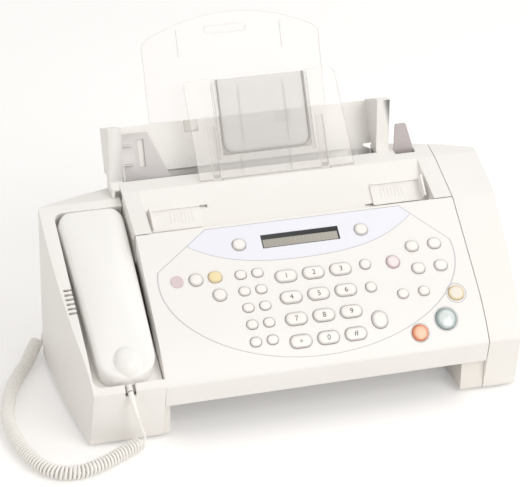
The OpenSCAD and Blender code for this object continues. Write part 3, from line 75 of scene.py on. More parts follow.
def lay_mesh(name, points, faces, finish=None, smooth=True):
    """A mesh object from an array of points and a list or array of faces."""
    mesh = bpy.data.meshes.new(name)
    mesh.from_pydata(np.asarray(points, float).reshape(-1, 3).tolist(), [],
                     [list(map(int, f)) for f in faces])
    mesh.polygons.foreach_set("use_smooth", np.full(len(mesh.polygons), smooth))
    mesh.update()
    if finish:
        mesh.materials.append(finish)
    piece = bpy.data.objects.new(name, mesh)
    bpy.context.scene.collection.objects.link(piece)
    return piece


def seen_directly(nodes, links):
    """A socket that is 1 for camera, mirror and see-through rays and 0 for light that bounces."""
    path = nodes.new("ShaderNodeLightPath")
    total = path.outputs["Is Camera Ray"]
    for ray in ("Is Glossy Ray", "Is Transmission Ray"):
        add = nodes.new("ShaderNodeMath")
        add.operation = "MAXIMUM"
        links.new(total, add.inputs[0])
        links.new(path.outputs[ray], add.inputs[1])
        total = add.outputs[0]
    return total


floor_reach, floor_z = 9, -0.0003
floor = lay_mesh("floor_sheet", [(-floor_reach, -floor_reach, floor_z),
                                 (floor_reach, -floor_reach, floor_z),
                                 (floor_reach, floor_reach, floor_z),
                                 (-floor_reach, floor_reach, floor_z)], [(0, 1, 2, 3)])
paper = bpy.data.materials.new("floor_paper")
paper.use_nodes = True
nodes, links = paper.node_tree.nodes, paper.node_tree.links
matt = nodes["Principled BSDF"]
matt.inputs["Base Color"].default_value = tone(251, 248, 245)
matt.inputs["Roughness"].default_value = 0.9
matt.inputs["Specular IOR Level"].default_value = 0.1
glow = nodes.new("ShaderNodeEmission")
glow.inputs["Color"].default_value = tone(247, 251, 255)
both = nodes.new("ShaderNodeAddShader")
strength = nodes.new("ShaderNodeMath")
strength.operation = "MULTIPLY"
strength.inputs[1].default_value = 0.23
links.new(seen_directly(nodes, links), strength.inputs[0])
links.new(strength.outputs[0], glow.inputs["Strength"])
links.new(matt.outputs[0], both.inputs[0])
links.new(glow.outputs[0], both.inputs[1])
links.new(both.outputs[0], nodes["Material Output"].inputs["Surface"])
floor.data.materials.append(paper)

world = bpy.data.worlds.new("studio")
bpy.context.scene.world = world
world.use_nodes = True
nodes, links = world.node_tree.nodes, world.node_tree.links
room = nodes["Background"]
room.inputs["Color"].default_value = tone(253, 252, 251)
room.inputs["Strength"].default_value = 0.58
sky = nodes.new("ShaderNodeBackground")
sky.inputs["Color"].default_value = tone(251, 250, 248)
sky.inputs["Strength"].default_value = 1.0
pick = nodes.new("ShaderNodeMixShader")
links.new(seen_directly(nodes, links), pick.inputs[0])
links.new(room.outputs[0], pick.inputs[1])
links.new(sky.outputs[0], pick.inputs[2])
links.new(pick.outputs[0], nodes["World Output"].inputs["Surface"])

lamp_target = Vector((0, 0, 0.1))
for name, place, size, watts, chip in (
        ("lamp_over", (1.3, 0.1, 1.9), 1.6, 9.0, (255, 255, 255)),
        ("lamp_front", (0.9, -1.7, 1.5), 1.2, 18.5, (255, 254, 252)),
        ("lamp_left", (-1.9, -0.9, 1.0), 1.4, 5.0, (255, 251, 246))):
    lamp = bpy.data.lights.new(name, "AREA")
    lamp.size = size
    lamp.energy = watts
    lamp.color = tone(*chip)[:3]
    holder = bpy.data.objects.new(name, lamp)
    holder.location = place
    holder.rotation_mode = "QUATERNION"
    holder.rotation_quaternion = (Vector(place) - lamp_target).to_track_quat("Z", "Y")
    bpy.context.scene.collection.objects.link(holder)


# ---- Handset cord ----
# A cream vinyl cord, wound tight on a mandrel for most of its length. Its straight ends go
# into the handset and into the jack at the back, and it lies on the table beside the body.
def vinyl(name, chip, roughness, grain, depth=0.00008, coat=0.0):
    """Moulded plastic: a base colour that drifts by a few per cent over centimetres, and a fine
    spark-eroded grain, `grain` metres across, that tilts the surface and varies its gloss."""
    finish = bpy.data.materials.new(name)
    finish.use_nodes = True
    nodes, links = finish.node_tree.nodes, finish.node_tree.links
    body = nodes["Principled BSDF"]
    place = nodes.new("ShaderNodeTexCoord")
    drift = nodes.new("ShaderNodeTexNoise")
    drift.inputs["Scale"].default_value = 9.0
    drift.inputs["Detail"].default_value = 3.0
    links.new(place.outputs["Object"], drift.inputs["Vector"])
    shade = nodes.new("ShaderNodeMix")
    shade.data_type = "RGBA"
    light = tone(*chip)
    shade.inputs[6].default_value = light
    shade.inputs[7].default_value = (light[0] * 0.955, light[1] * 0.945, light[2] * 0.925, 1)
    links.new(drift.outputs["Fac"], shade.inputs[0])
    links.new(shade.outputs[2], body.inputs["Base Color"])
    pits = nodes.new("ShaderNodeTexNoise")
    pits.inputs["Scale"].default_value = 1.0 / grain
    pits.inputs["Detail"].default_value = 2.0
    links.new(place.outputs["Object"], pits.inputs["Vector"])
    gloss = nodes.new("ShaderNodeMapRange")
    gloss.inputs["To Min"].default_value = roughness - 0.06
    gloss.inputs["To Max"].default_value = roughness + 0.06
    links.new(pits.outputs["Fac"], gloss.inputs["Value"])
    links.new(gloss.outputs["Result"], body.inputs["Roughness"])
    tilt = nodes.new("ShaderNodeBump")
    tilt.inputs["Strength"].default_value = 0.35
    tilt.inputs["Distance"].default_value = depth
    links.new(pits.outputs["Fac"], tilt.inputs["Height"])
    links.new(tilt.outputs["Normal"], body.inputs["Normal"])
    body.inputs["Coat Weight"].default_value = coat
    body.inputs["Coat Roughness"].default_value = 0.12
    body.inputs["Specular IOR Level"].default_value = 0.4
    return finish


cord_vinyl = vinyl("cord_vinyl", (255, 253, 249), 0.42, 0.0011)
lead_route = np.array([(-149, -115, 52.4), (-149, -118.4, 50.3), (-148.7, -121.3, 47.4),
                       (-147.8, -123.1, 43), (-146.2, -124, 37), (-144.2, -123.9, 30),
                       (-142.3, -123.3, 23)]) / 1000
curl_route = np.array([(-143, -118), (-151, -123), (-161, -129), (-179, -139), (-196, -144),
                       (-212, -141), (-224, -128), (-232, -106), (-236, -84), (-237, -60),
                       (-233, -38), (-226, -15), (-216, 5), (-206, 22), (-199, 38),
                       (-192, 52)]) / 1000
tail_route = np.array([(-187.1, 50.9, 10.6), (-186.3, 52.8, 12.8), (-184.2, 55.6, 14.2),
                       (-179.6, 60.4, 15.2), (-172.8, 64.2, 16.4), (-166.3, 65, 17.3),
                       (-161.8, 62, 17.8), (-160, 56, 18)]) / 1000
wire_d = 0.0023
coil_r = 0.0047
coil_z = 0.0060
coil_pitch = 0.0031
turn_points = 14
end_step = 0.0011
sleeve_rings = 22


def smooth_route(points, step):
    """Catmull-Rom curve through the points, resampled at equal steps along its length."""
    p = np.vstack([2 * points[0] - points[1], points, 2 * points[-1] - points[-2]])
    t = np.linspace(0, 1, 25)[None, :-1, None]
    a, b, c, d = (p[i:len(p) - 3 + i, None, :] for i in range(4))
    curve = 0.5 * (2 * b + (c - a) * t + (2 * a - 5 * b + 4 * c - d) * t ** 2
                   + (3 * b - a - 3 * c + d) * t ** 3)
    curve = np.vstack([curve.reshape(-1, points.shape[1]), points[-1:]])
    run = np.concatenate([[0], np.cumsum(np.linalg.norm(np.diff(curve, axis=0), axis=1))])
    at = np.linspace(0, run[-1], max(2, int(round(run[-1] / step)) + 1))
    return np.stack([np.interp(at, run, curve[:, i]) for i in range(points.shape[1])], 1)


def tube_faces(rings, sides, start=0):
    """Quads between the rings of a tube whose first point is number `start`: point k of ring i
    is start + i * sides + k. A face closes the tube at each end."""
    i, k = np.meshgrid(np.arange(rings - 1), np.arange(sides), indexing="ij")
    a, b = start + i * sides + k, start + i * sides + (k + 1) % sides
    faces = np.stack([a, b, b + sides, a + sides], -1).reshape(-1, 4).tolist()
    faces.append((start + np.arange(sides))[::-1].tolist())
    faces.append((start + (rings - 1) * sides + np.arange(sides)).tolist())
    return faces


def sweep(line, radii, sides):
    """Rings of `sides` points carried along a line. Each ring is square to the line, and its
    frame is the last one turned by the least angle, so that the tube doesn't twist."""
    along = np.gradient(line, axis=0)
    along /= np.linalg.norm(along, axis=1)[:, None]
    over = np.zeros_like(line)
    over[0] = np.cross(along[0], (0.31, 0.57, 0.76))
    over[0] /= np.linalg.norm(over[0])
    for i in range(1, len(line)):
        over[i] = over[i - 1] - along[i] * (over[i - 1] @ along[i])
        over[i] /= np.linalg.norm(over[i])
    side = np.cross(along, over)
    turn = np.linspace(0, 2 * np.pi, sides, endpoint=False)
    rings = (line[:, None, :] + np.broadcast_to(radii, len(line))[:, None, None]
             * (over[:, None, :] * np.cos(turn)[None, :, None]
                + side[:, None, :] * np.sin(turn)[None, :, None]))
    return rings.reshape(-1, 3), tube_faces(len(line), sides)


axis = smooth_route(np.column_stack([curl_route, np.full(len(curl_route), coil_z)]), 0.0005)
axis_run = np.concatenate([[0], np.cumsum(np.linalg.norm(np.diff(axis, axis=0), axis=1))])
turns = round(axis_run[-1] / coil_pitch) + 0.5
wound = np.linspace(0, 1, int(turns * turn_points) + 1)
centre = np.stack([np.interp(wound * axis_run[-1], axis_run, axis[:, i])
                   for i in range(3)], 1)
forward = np.gradient(centre, axis=0)
forward /= np.linalg.norm(forward, axis=1)[:, None]
sideways = np.cross(forward, (0, 0, 1.0))
sideways /= np.linalg.norm(sideways, axis=1)[:, None]
upward = np.cross(sideways, forward)
spin = np.pi + 2 * np.pi * turns * wound
coil = centre + coil_r * (np.cos(spin)[:, None] * sideways + np.sin(spin)[:, None] * upward)
enter = 1.5 * (coil[1] - coil[0]) - 0.5 * (coil[2] - coil[1])
enter /= np.linalg.norm(enter)
leave = 1.5 * (coil[-1] - coil[-2]) - 0.5 * (coil[-2] - coil[-3])
leave /= np.linalg.norm(leave)
lead_run = smooth_route(np.vstack([lead_route, coil[0] - 0.009 * enter,
                                   coil[0] - 0.0035 * enter, coil[0]]), end_step)
tail_run = smooth_route(np.vstack([coil[-1], coil[-1] + 0.0022 * leave, tail_route]), end_step)
cord_line = np.vstack([lead_run[:-1], coil, tail_run[1:]])
cord_points, cord_faces = sweep(cord_line, wire_d / 2, 8)
cord = lay_mesh("curly_cord", cord_points, cord_faces, cord_vinyl)
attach(cord, "body")
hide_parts("handset_cord", "cord_leads")
sleeve_points, sleeve_faces = sweep(lead_run[:sleeve_rings],
                                    np.linspace(0.0024, 0.00145, sleeve_rings), 16)
sleeve = lay_mesh("cord_sleeve", sleeve_points, sleeve_faces, cord_vinyl)
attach(sleeve, "body")


# ---- Base, feet and covers ----
# Warm white ABS mouldings, 2.5 mm thick, with softened outer edges and a fine grain. The
# base pan carries everything, and the end covers and the deck close down over it.
bodies = {node: body for body, members in frame["record"]["behaviour"]["bodies"].items()
          for node in members}
bay_slope = math.radians(26.5)
bay_y, bay_z = 0.038, 0.142


def box_matrix(low, high):
    """The matrix that makes a unit cube about the origin the box between two corners."""
    size = Vector(high) - Vector(low)
    return Matrix.Translation(Vector(low) + size / 2) @ Matrix.Diagonal((*size, 1))


def cut_boxes(mesh, boxes, tilt, pivot):
    """The mesh less boxes from low to high, which are turned by `tilt` about X and moved to
    `pivot`, as a new mesh."""
    whole = bpy.data.objects.new("whole", mesh)
    tool = bmesh.new()
    turn = Matrix.Translation(Vector(pivot)) @ Matrix.Rotation(tilt, 4, "X")
    for low, high in boxes:
        bmesh.ops.create_cube(tool, size=1.0, matrix=turn @ box_matrix(low, high))
    tool_mesh = bpy.data.meshes.new("cutter")
    tool.to_mesh(tool_mesh)
    tool.free()
    cutter = bpy.data.objects.new("cutter", tool_mesh)
    for thing in (whole, cutter):
        bpy.context.scene.collection.objects.link(thing)
    saw = whole.modifiers.new("cut", "BOOLEAN")
    saw.operation = "DIFFERENCE"
    saw.solver = "EXACT"
    saw.object = cutter
    bpy.context.view_layer.update()
    worked_out = whole.evaluated_get(bpy.context.evaluated_depsgraph_get())
    left_over = bpy.data.meshes.new_from_object(worked_out)
    for thing in (whole, cutter):
        bpy.data.objects.remove(thing)
    return left_over


def eased(node, finish, edge, steps=2, bend=28, cut=None, tilt=0.0, pivot=(0, 0, 0)):
    """A copy of a CAD part with its triangles joined and its flat faces merged, less the
    boxes in `cut`. Edges sharper than `bend` degrees are rounded to `edge` metres."""
    shape = bmesh.new()
    shape.from_mesh(frame["nodes"][node].data)
    bmesh.ops.remove_doubles(shape, verts=shape.verts, dist=2e-6)
    bmesh.ops.dissolve_limit(shape, angle_limit=math.radians(0.6), verts=shape.verts,
                             edges=shape.edges)
    mesh = bpy.data.meshes.new(node + "_form")
    shape.to_mesh(mesh)
    shape.free()
    if cut:
        mesh = cut_boxes(mesh, cut, tilt, pivot)
    mesh.polygons.foreach_set("use_smooth", np.full(len(mesh.polygons), True))
    mesh.set_sharp_from_angle(angle=math.radians(bend))
    mesh.materials.clear()
    mesh.materials.append(finish)
    piece = bpy.data.objects.new(node + "_finished", mesh)
    bpy.context.scene.collection.objects.link(piece)
    if edge:
        round_over = piece.modifiers.new("eased_edges", "BEVEL")
        round_over.width = edge
        round_over.segments = steps
        round_over.limit_method = "ANGLE"
        round_over.angle_limit = math.radians(bend)
        round_over.harden_normals = True
    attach(piece, bodies[node])
    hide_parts(node)
    return piece


warm_white = vinyl("warm_white_abs", (249, 247, 244), 0.5, 0.0009)
base_abs = vinyl("base_abs", (246, 243, 238), 0.55, 0.0009)
eased("base_pan", base_abs, 0.0006, cut=[((-0.1148, -0.120, -0.010), (0.1319, -0.062, 0.0315))])


def slab(name, low, high, round_edge, finish):
    """A rectangular plate between two corners, its edges rounded to `round_edge` metres."""
    shape = bmesh.new()
    bmesh.ops.create_cube(shape, size=1.0, matrix=box_matrix(low, high))
    bmesh.ops.bevel(shape, geom=shape.edges[:], offset=round_edge, segments=3, affect="EDGES")
    mesh = bpy.data.meshes.new(name)
    shape.to_mesh(mesh)
    shape.free()
    mesh.materials.append(finish)
    piece = bpy.data.objects.new(name, mesh)
    bpy.context.scene.collection.objects.link(piece)
    return piece


front_wall = slab("front_wall", (-0.1160, -0.0622, 0.0030), (0.1330, -0.0597, 0.0310), 0.0005,
                  base_abs)
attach(front_wall, "body")
grille_pitch = 0.0044
grille_slots = [((-0.1846, -0.0841 - grille_pitch * i, -0.0085),
                 (-0.1770, -0.0819 - grille_pitch * i, 0.0030)) for i in range(6)]
eased("left_cover", warm_white, 0.0012, 3, cut=grille_slots, tilt=bay_slope,
      pivot=(0, bay_y, bay_z))
eased("right_cover", warm_white, 0.0012, 3)
eased("deck_cover", warm_white, 0.0006)
corner_web = slab("corner_web", (-0.1265, 0.0440, 0.1385), (-0.1167, 0.0510, 0.1495), 0.0006,
                  warm_white)
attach(corner_web, "body")
rubber = vinyl("black_rubber", (64, 62, 60), 0.8, 0.0006)
eased("rubber_feet", rubber, 0.0008, 3)


# ---- Print engine, rollers and gears ----
# The engine stands in a chassis screwed to the base pan. Steel shafts turn in it, with rubber
# tyres moulded on them, and a train of acetal gears drives them from the right. The chassis and
# the document
# chute are painted near white: painted light that lifts the shade inside the machine.
def metal(name, chip, roughness, brushed):
    """Drawn or rolled steel: a metal whose gloss follows fine streaks, `brushed` to the metre,
    stretched along the part's length."""
    finish = bpy.data.materials.new(name)
    finish.use_nodes = True
    nodes, links = finish.node_tree.nodes, finish.node_tree.links
    body = nodes["Principled BSDF"]
    body.inputs["Metallic"].default_value = 1.0
    place = nodes.new("ShaderNodeTexCoord")
    stretch = nodes.new("ShaderNodeMapping")
    stretch.inputs["Scale"].default_value = (0.04, 1, 1)
    links.new(place.outputs["Object"], stretch.inputs["Vector"])
    streak = nodes.new("ShaderNodeTexNoise")
    streak.inputs["Scale"].default_value = brushed
    streak.inputs["Detail"].default_value = 4.0
    links.new(stretch.outputs["Vector"], streak.inputs["Vector"])
    shade = nodes.new("ShaderNodeMix")
    shade.data_type = "RGBA"
    light = tone(*chip)
    shade.inputs[6].default_value = light
    shade.inputs[7].default_value = (light[0] * 0.8, light[1] * 0.8, light[2] * 0.82, 1)
    links.new(streak.outputs["Fac"], shade.inputs[0])
    links.new(shade.outputs[2], body.inputs["Base Color"])
    gloss = nodes.new("ShaderNodeMapRange")
    gloss.inputs["To Min"].default_value = roughness - 0.1
    gloss.inputs["To Max"].default_value = roughness + 0.1
    links.new(streak.outputs["Fac"], gloss.inputs["Value"])
    links.new(gloss.outputs["Result"], body.inputs["Roughness"])
    return finish


def part_finishes(piece, finishes, chooser):
    """Gives each face the finish that `chooser` picks from the face centres, an n by 3 array."""
    mesh = piece.data
    for finish in finishes:
        mesh.materials.append(finish)
    centres = np.empty(len(mesh.polygons) * 3)
    mesh.polygons.foreach_get("center", centres)
    mesh.polygons.foreach_set("material_index", chooser(centres.reshape(-1, 3)).astype(int))
    mesh.update()


def off_axis(centres, y, z):
    """Distance of each point from the line along X through (y, z)."""
    return np.hypot(centres[:, 1] - y, centres[:, 2] - z)


grey_abs = vinyl("grey_abs", (148, 148, 146), 0.55, 0.0008)
dark_abs = vinyl("dark_abs", (70, 70, 72), 0.5, 0.0008)
charcoal = vinyl("charcoal_abs", (44, 45, 47), 0.45, 0.0007)
acetal = vinyl("acetal", (226, 224, 216), 0.35, 0.0006)
steel = metal("bright_steel", (196, 198, 200), 0.32, 900.0)
zinc = metal("zinc_plate", (172, 176, 178), 0.42, 300.0)
tyre = vinyl("roller_rubber", (58, 57, 58), 0.85, 0.0005)
# Near white as painted light: the chassis and chute are lightened so that the inside of the
# machine, seen through the gaps, reads as soft light shade instead of a dark hole.
engine_abs_painted_light = vinyl("engine_abs_painted_light", (246, 239, 230), 0.6, 0.0009)
eased("print_chassis", engine_abs_painted_light, 0.0003,
      cut=[((-0.1149, -0.110, 0.005), (0.1320, -0.0595, 0.0355))])
eased("document_chute", engine_abs_painted_light, 0.0003)
eased("image_sensor", charcoal, 0.0003)
feeder_lean = math.radians(25)
panel_tilt = math.radians(36)
gear_inner_face = 0.139
pick_axis = (0.065 - 0.064 * math.tan(feeder_lean) - 0.015 * math.cos(feeder_lean),
             0.088 + 0.015 * math.sin(feeder_lean))
document_axis = (-0.052 + 0.0075 * math.sin(panel_tilt),
                 0.1082 - 0.038 * math.tan(panel_tilt) - 0.0075 * math.cos(panel_tilt))
for node, (y, z), shaft in (("pick_roller", pick_axis, 0.0037),
                            ("feed_roller", (0.012, 0.042), 0.0037),
                            ("exit_roller", (-0.0523, 0.042), 0.0037),
                            ("document_roller", document_axis, 0.0032)):
    roller = eased(node, tyre, 0.0002)
    part_finishes(roller, [steel, acetal], lambda c, y=y, z=z, r=shaft: np.where(
        off_axis(c, y, z) < r, 1, np.where(np.abs(c[:, 0]) > gear_inner_face, 2, 0)))
for node in ("idler_gear", "motor_gear", "guide_pinion"):
    eased(node, acetal, 0.00015)
eased("drive_motors", zinc, 0.0004)
eased("drive_belt", tyre, 0.0002)
eased("lift_plate", zinc, 0.0002)
eased("hook_switch", grey_abs, 0.0003)
eased("print_carriage", charcoal, 0.0004)
eased("ink_cartridge", dark_abs, 0.0004)


# ---- Electronics and rear sockets ----
# A glass-fibre board with its chips, a boxed power supply and a speaker stand in the base
# pan. The telephone and mains sockets are set in the rear wall.
def printed_over(finish, share, chip):
    """Lays a colour over the base colour of a finish, as far as the socket `share` says."""
    nodes, links = finish.node_tree.nodes, finish.node_tree.links
    colour = nodes["Principled BSDF"].inputs["Base Color"]
    over = nodes.new("ShaderNodeMix")
    over.data_type = "RGBA"
    links.new(colour.links[0].from_socket, over.inputs[6])
    over.inputs[7].default_value = tone(*chip)
    links.new(share, over.inputs[0])
    links.new(over.outputs[2], colour)


def circuit(name, chip, copper):
    """Green solder mask over copper: a square maze of traces shows through a little lighter."""
    finish = vinyl(name, chip, 0.35, 0.0012, coat=0.3)
    nodes, links = finish.node_tree.nodes, finish.node_tree.links
    place = nodes.new("ShaderNodeTexCoord")
    cells = nodes.new("ShaderNodeTexVoronoi")
    cells.distance = "MANHATTAN"
    cells.feature = "F1"
    cells.inputs["Scale"].default_value = 190.0
    links.new(place.outputs["Object"], cells.inputs["Vector"])
    trace = nodes.new("ShaderNodeMath")
    trace.operation = "COMPARE"
    trace.inputs[1].default_value = 0.45
    trace.inputs[2].default_value = 0.06
    links.new(cells.outputs["Distance"], trace.inputs[0])
    printed_over(finish, trace.outputs[0], copper)
    return finish


board_green = circuit("solder_mask", (52, 112, 74), (86, 146, 96))
eased("main_board", board_green, 0.0001)
eased("power_supply", zinc, 0.0004)
eased("speaker", charcoal, 0.0003)
eased("rear_sockets", charcoal, 0.0003)
clear_plug = vinyl("plug_plastic", (214, 208, 196), 0.25, 0.0010, coat=0.4)
plug = eased("cord_plug", clear_plug, 0.0003)


# ---- Handset ----
# Two white ABS half shells meet at a fine line. The back is crowned both ways and swells
# into a low dome over the microphone; the inner half has the cups and the grip.
handset_x = -0.149
hand_t0, hand_t1 = 0.0087, 0.1705
hand_ear, hand_mouth = 0.027, 0.023
ear_corner, mouth_corner = 0.012, 0.019
hand_proud, hand_split = 0.010, -0.004
hand_edge = 0.0032
dome_across, dome_along, dome_top = 0.0108, 0.0130, 0.0112
dome_sides = 72
long_arc, cross_arc = 0.42, 0.058


def in_bay(x, t, n):
    """Point x across, t down the cradle and n square to its rim, turned into the row frame."""
    y = bay_y - t * math.cos(bay_slope) - n * math.sin(bay_slope)
    z = bay_z - t * math.sin(bay_slope) + n * math.cos(bay_slope)
    return np.stack(np.broadcast_arrays(x, y, z), -1)


def crown(x, t):
    """Height of the back: the top less the root of the sum of the squares of two arcs' drops,
    one of 420 mm radius along the handset and one of 58 mm across it."""
    long_drop = long_arc - np.sqrt(long_arc ** 2 - (t - (hand_t0 + hand_t1) / 2) ** 2)
    cross_drop = cross_arc - np.sqrt(cross_arc ** 2 - (x - handset_x) ** 2)
    return hand_proud - np.hypot(long_drop, cross_drop)


def grid_faces(rows, cols):
    """Quads that join a grid of rows by cols points: point k of row i is i * cols + k."""
    i, k = np.meshgrid(np.arange(rows - 1), np.arange(cols - 1), indexing="ij")
    a = i * cols + k
    return np.stack([a, a + 1, a + cols + 1, a + cols], -1).reshape(-1, 4).tolist()


v = 0.5 - 0.5 * np.cos(np.linspace(0, np.pi, 81))
u = np.sin(np.linspace(-np.pi / 2, np.pi / 2, 45))
down = hand_t0 + v * (hand_t1 - hand_t0)
ends = np.minimum(down - hand_t0, hand_t1 - down)
half = hand_ear + (hand_mouth - hand_ear) * v
corner = np.where(v < 0.5, ear_corner, mouth_corner)
half = half - corner + np.sqrt(corner ** 2 - np.maximum(0, corner - ends) ** 2)
across = handset_x + half[:, None] * u[None, :]
along = np.broadcast_to(down[:, None], across.shape)
edge_gap = np.minimum(half[:, None] * (1 - np.abs(u))[None, :], ends[:, None])
fall = hand_edge - np.sqrt(hand_edge ** 2 - np.maximum(0, hand_edge - edge_gap) ** 2)
back_points = in_bay(across, along, crown(across, along) - fall).reshape(-1, 3)
rows, cols = across.shape
faces = grid_faces(rows, cols)
rim = np.concatenate([np.arange(cols), cols * np.arange(1, rows) + cols - 1,
                      (rows - 1) * cols + np.arange(cols - 2, -1, -1),
                      cols * np.arange(rows - 2, 0, -1)])
foot_points = in_bay(across.reshape(-1)[rim], along.reshape(-1)[rim], hand_split)
foot = len(back_points) + np.arange(len(rim))
faces += np.stack([rim, foot, np.roll(foot, -1), np.roll(rim, -1)], -1).tolist()
faces.append(foot[::-1].tolist())
dome_turn = np.linspace(0, 2 * np.pi, dome_sides, endpoint=False)
swell = np.sin(np.linspace(np.pi / 2, 0.03, 16))
dome_out = np.concatenate([[1.0], swell])
dome_up = np.concatenate([[hand_split + 0.001], dome_top * (1 - swell ** 3.2) ** (1 / 2.6)])
dome_middle = 1.02
dome_points = in_bay(handset_x + dome_across * dome_out[:, None] * np.cos(dome_turn)[None, :],
                     hand_t1 - dome_along * (dome_middle
                                             + dome_out[:, None] * np.sin(dome_turn)[None, :]),
                     np.broadcast_to(dome_up[:, None], (len(dome_up), dome_sides))).reshape(-1, 3)
faces += tube_faces(len(dome_up), dome_sides, len(back_points) + len(rim))
handset_white = vinyl("handset_abs", (254, 253, 251), 0.36, 0.0008, coat=0.12)
handset_back = lay_mesh("handset_shell", np.vstack([back_points, foot_points, dome_points]),
                        faces, handset_white)


def points_of(mesh):
    """The mesh's points, an n by 3 array."""
    spots = np.empty(len(mesh.vertices) * 3)
    mesh.vertices.foreach_get("co", spots)
    return spots.reshape(-1, 3)


def face_outwards(piece):
    """Joins doubled points and turns every face outwards."""
    shape = bmesh.new()
    shape.from_mesh(piece.data)
    bmesh.ops.remove_doubles(shape, verts=shape.verts, dist=1e-7)
    bmesh.ops.recalc_face_normals(shape, faces=shape.faces)
    shape.to_mesh(piece.data)
    shape.free()
    piece.data.set_sharp_from_angle(angle=math.radians(50))


face_outwards(handset_back)
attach(handset_back, "handset")
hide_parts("handset_back")
inner_half = eased("handset_face", handset_white, 0.0006)
# Its corners at the mouth are pulled in to the round outline of the back: a point farther
# than the corner's radius from the corner's centre comes back to that radius.
spots = points_of(inner_half.data)
down = (bay_y - spots[:, 1]) * math.cos(bay_slope) - (spots[:, 2] - bay_z) * math.sin(bay_slope)
level = (spots[:, 2] - bay_z) * math.cos(bay_slope) + (bay_y - spots[:, 1]) * math.sin(bay_slope)
sideways = spots[:, 0] - handset_x
from_x = np.abs(sideways) - (hand_mouth - mouth_corner)
from_t = down - (hand_t1 - mouth_corner)
reach = np.hypot(from_x, from_t)
outside = (from_x > 0) & (from_t > 0) & (reach > mouth_corner)
pull = np.where(outside, mouth_corner / np.maximum(reach, 1e-9), 1)
spots = np.where(outside[:, None], in_bay(
    handset_x + np.sign(sideways) * (hand_mouth - mouth_corner + from_x * pull),
    hand_t1 - mouth_corner + from_t * pull, level), spots)
inner_half.data.vertices.foreach_set("co", spots.ravel())
inner_half.data.update()


# ---- Control panel ----
# One warm white moulding slopes down and rolls over at the front. A thin overlay is printed
# on it: a lilac field behind the keys with a fine grey border.
panel_y, panel_z = -0.014, 0.134
panel_flat, panel_bend = 0.080, 0.148


def panel_tangent(s):
    """Slope of the panel, in radians, s metres down its surface: level to panel_flat, then
    growing by the distance over the bend's radius."""
    return panel_tilt + np.maximum(0, s - panel_flat) / panel_bend


def on_panel(x, s, up=0.0, n=0.0):
    """Row-frame point on the tangent plane at s: `up` metres up the slope and n out of it."""
    a = panel_tangent(s)
    flat = np.minimum(s, panel_flat)
    y = panel_y - flat * math.cos(panel_tilt) - panel_bend * (np.sin(a) - math.sin(panel_tilt))
    z = panel_z - flat * math.sin(panel_tilt) - panel_bend * (math.cos(panel_tilt) - np.cos(a))
    return np.stack(np.broadcast_arrays(x, y + up * np.cos(a) - n * np.sin(a),
                                        z + up * np.sin(a) + n * np.cos(a)), -1)


def panel_out(c):
    """How far each point stands out of the panel's flat part."""
    return (-(c[:, 1] - panel_y) * math.sin(panel_tilt)
            + (c[:, 2] - panel_z) * math.cos(panel_tilt))


def calc(nodes, links, operation, first, second=None, third=None):
    """Output of one Math node fed with sockets or plain numbers."""
    node = nodes.new("ShaderNodeMath")
    node.operation = operation
    for slot_number, value in enumerate((first, second, third)):
        if value is None:
            continue
        if isinstance(value, (int, float)):
            node.inputs[slot_number].default_value = value
        else:
            links.new(value, node.inputs[slot_number])
    return node.outputs[0]


panel_print = vinyl("panel_overlay", (249, 247, 245), 0.42, 0.0010)
nodes, links = panel_print.node_tree.nodes, panel_print.node_tree.links
place = nodes.new("ShaderNodeAttribute")
place.attribute_name = "panel_place"
split = nodes.new("ShaderNodeSeparateXYZ")
links.new(place.outputs["Vector"], split.inputs[0])


def m(operation, first, second=None, third=None):
    """A Math node of the overlay's material."""
    return calc(nodes, links, operation, first, second, third)


def distance(across, down):
    """Root of the sum of the squares of two sockets."""
    return m("SQRT", m("ADD", m("POWER", m("ABSOLUTE", across), 2.0),
                       m("POWER", m("ABSOLUTE", down), 2.0)))


# The print is drawn in millimetres across and down the panel: an oval cut off by two slanting
# lines and by one near the top, with the lilac field above a shallow wave.
px, ps, pn = split.outputs
oval_x, oval_s, oval_across, oval_down = 14.5, 47.0, 125.0, 75.0
line_half, ring_half = 0.35, 0.4
oval = distance(m("DIVIDE", m("SUBTRACT", px, oval_x), oval_across),
                m("DIVIDE", m("SUBTRACT", ps, oval_s), oval_down))
inside = m("MULTIPLY", m("SUBTRACT", 1.0, oval), oval_down)
left_cut = m("ADD", m("MULTIPLY", m("ADD", px, 108.0), 0.580),
             m("MULTIPLY", m("SUBTRACT", ps, 34.0), 0.815))
right_cut = m("MULTIPLY", m("SUBTRACT", m("SUBTRACT", ps, 3.0), m("SUBTRACT", px, 104.0)), 0.707)
for limit in (left_cut, right_cut, m("SUBTRACT", ps, 2.0)):
    inside = m("MINIMUM", inside, limit)
centred = m("SUBTRACT", px, 12.0)
squared = m("MULTIPLY", centred, centred)
wave = m("SUBTRACT", m("SUBTRACT", 37.0, m("MULTIPLY", squared, 0.0013)),
         m("MULTIPLY", m("MULTIPLY", squared, squared), 1.45e-7))
on_face = m("GREATER_THAN", pn, -0.4)
in_outline = m("GREATER_THAN", inside, 0.0)
field = m("MULTIPLY", m("MULTIPLY", in_outline, m("GREATER_THAN", wave, ps)), on_face)
wave_line = m("MULTIPLY", m("LESS_THAN", m("ABSOLUTE", m("SUBTRACT", wave, ps)), line_half),
              in_outline)
line = m("MULTIPLY", m("MAXIMUM", m("LESS_THAN", m("ABSOLUTE", inside), line_half), wave_line),
         on_face)
for x, s, radius in ((118.0, 106.5, 10.1), (94.0, 115.0, 7.8), (131.5, 86.0, 8.4)):
    ring = distance(m("SUBTRACT", px, x), m("SUBTRACT", ps, s))
    ring_line = m("LESS_THAN", m("ABSOLUTE", m("SUBTRACT", ring, radius)), ring_half)
    line = m("MAXIMUM", line, m("MULTIPLY", ring_line, on_face))
for share, chip in ((field, (241, 242, 250)), (line, (205, 201, 206))):
    printed_over(panel_print, share, chip)

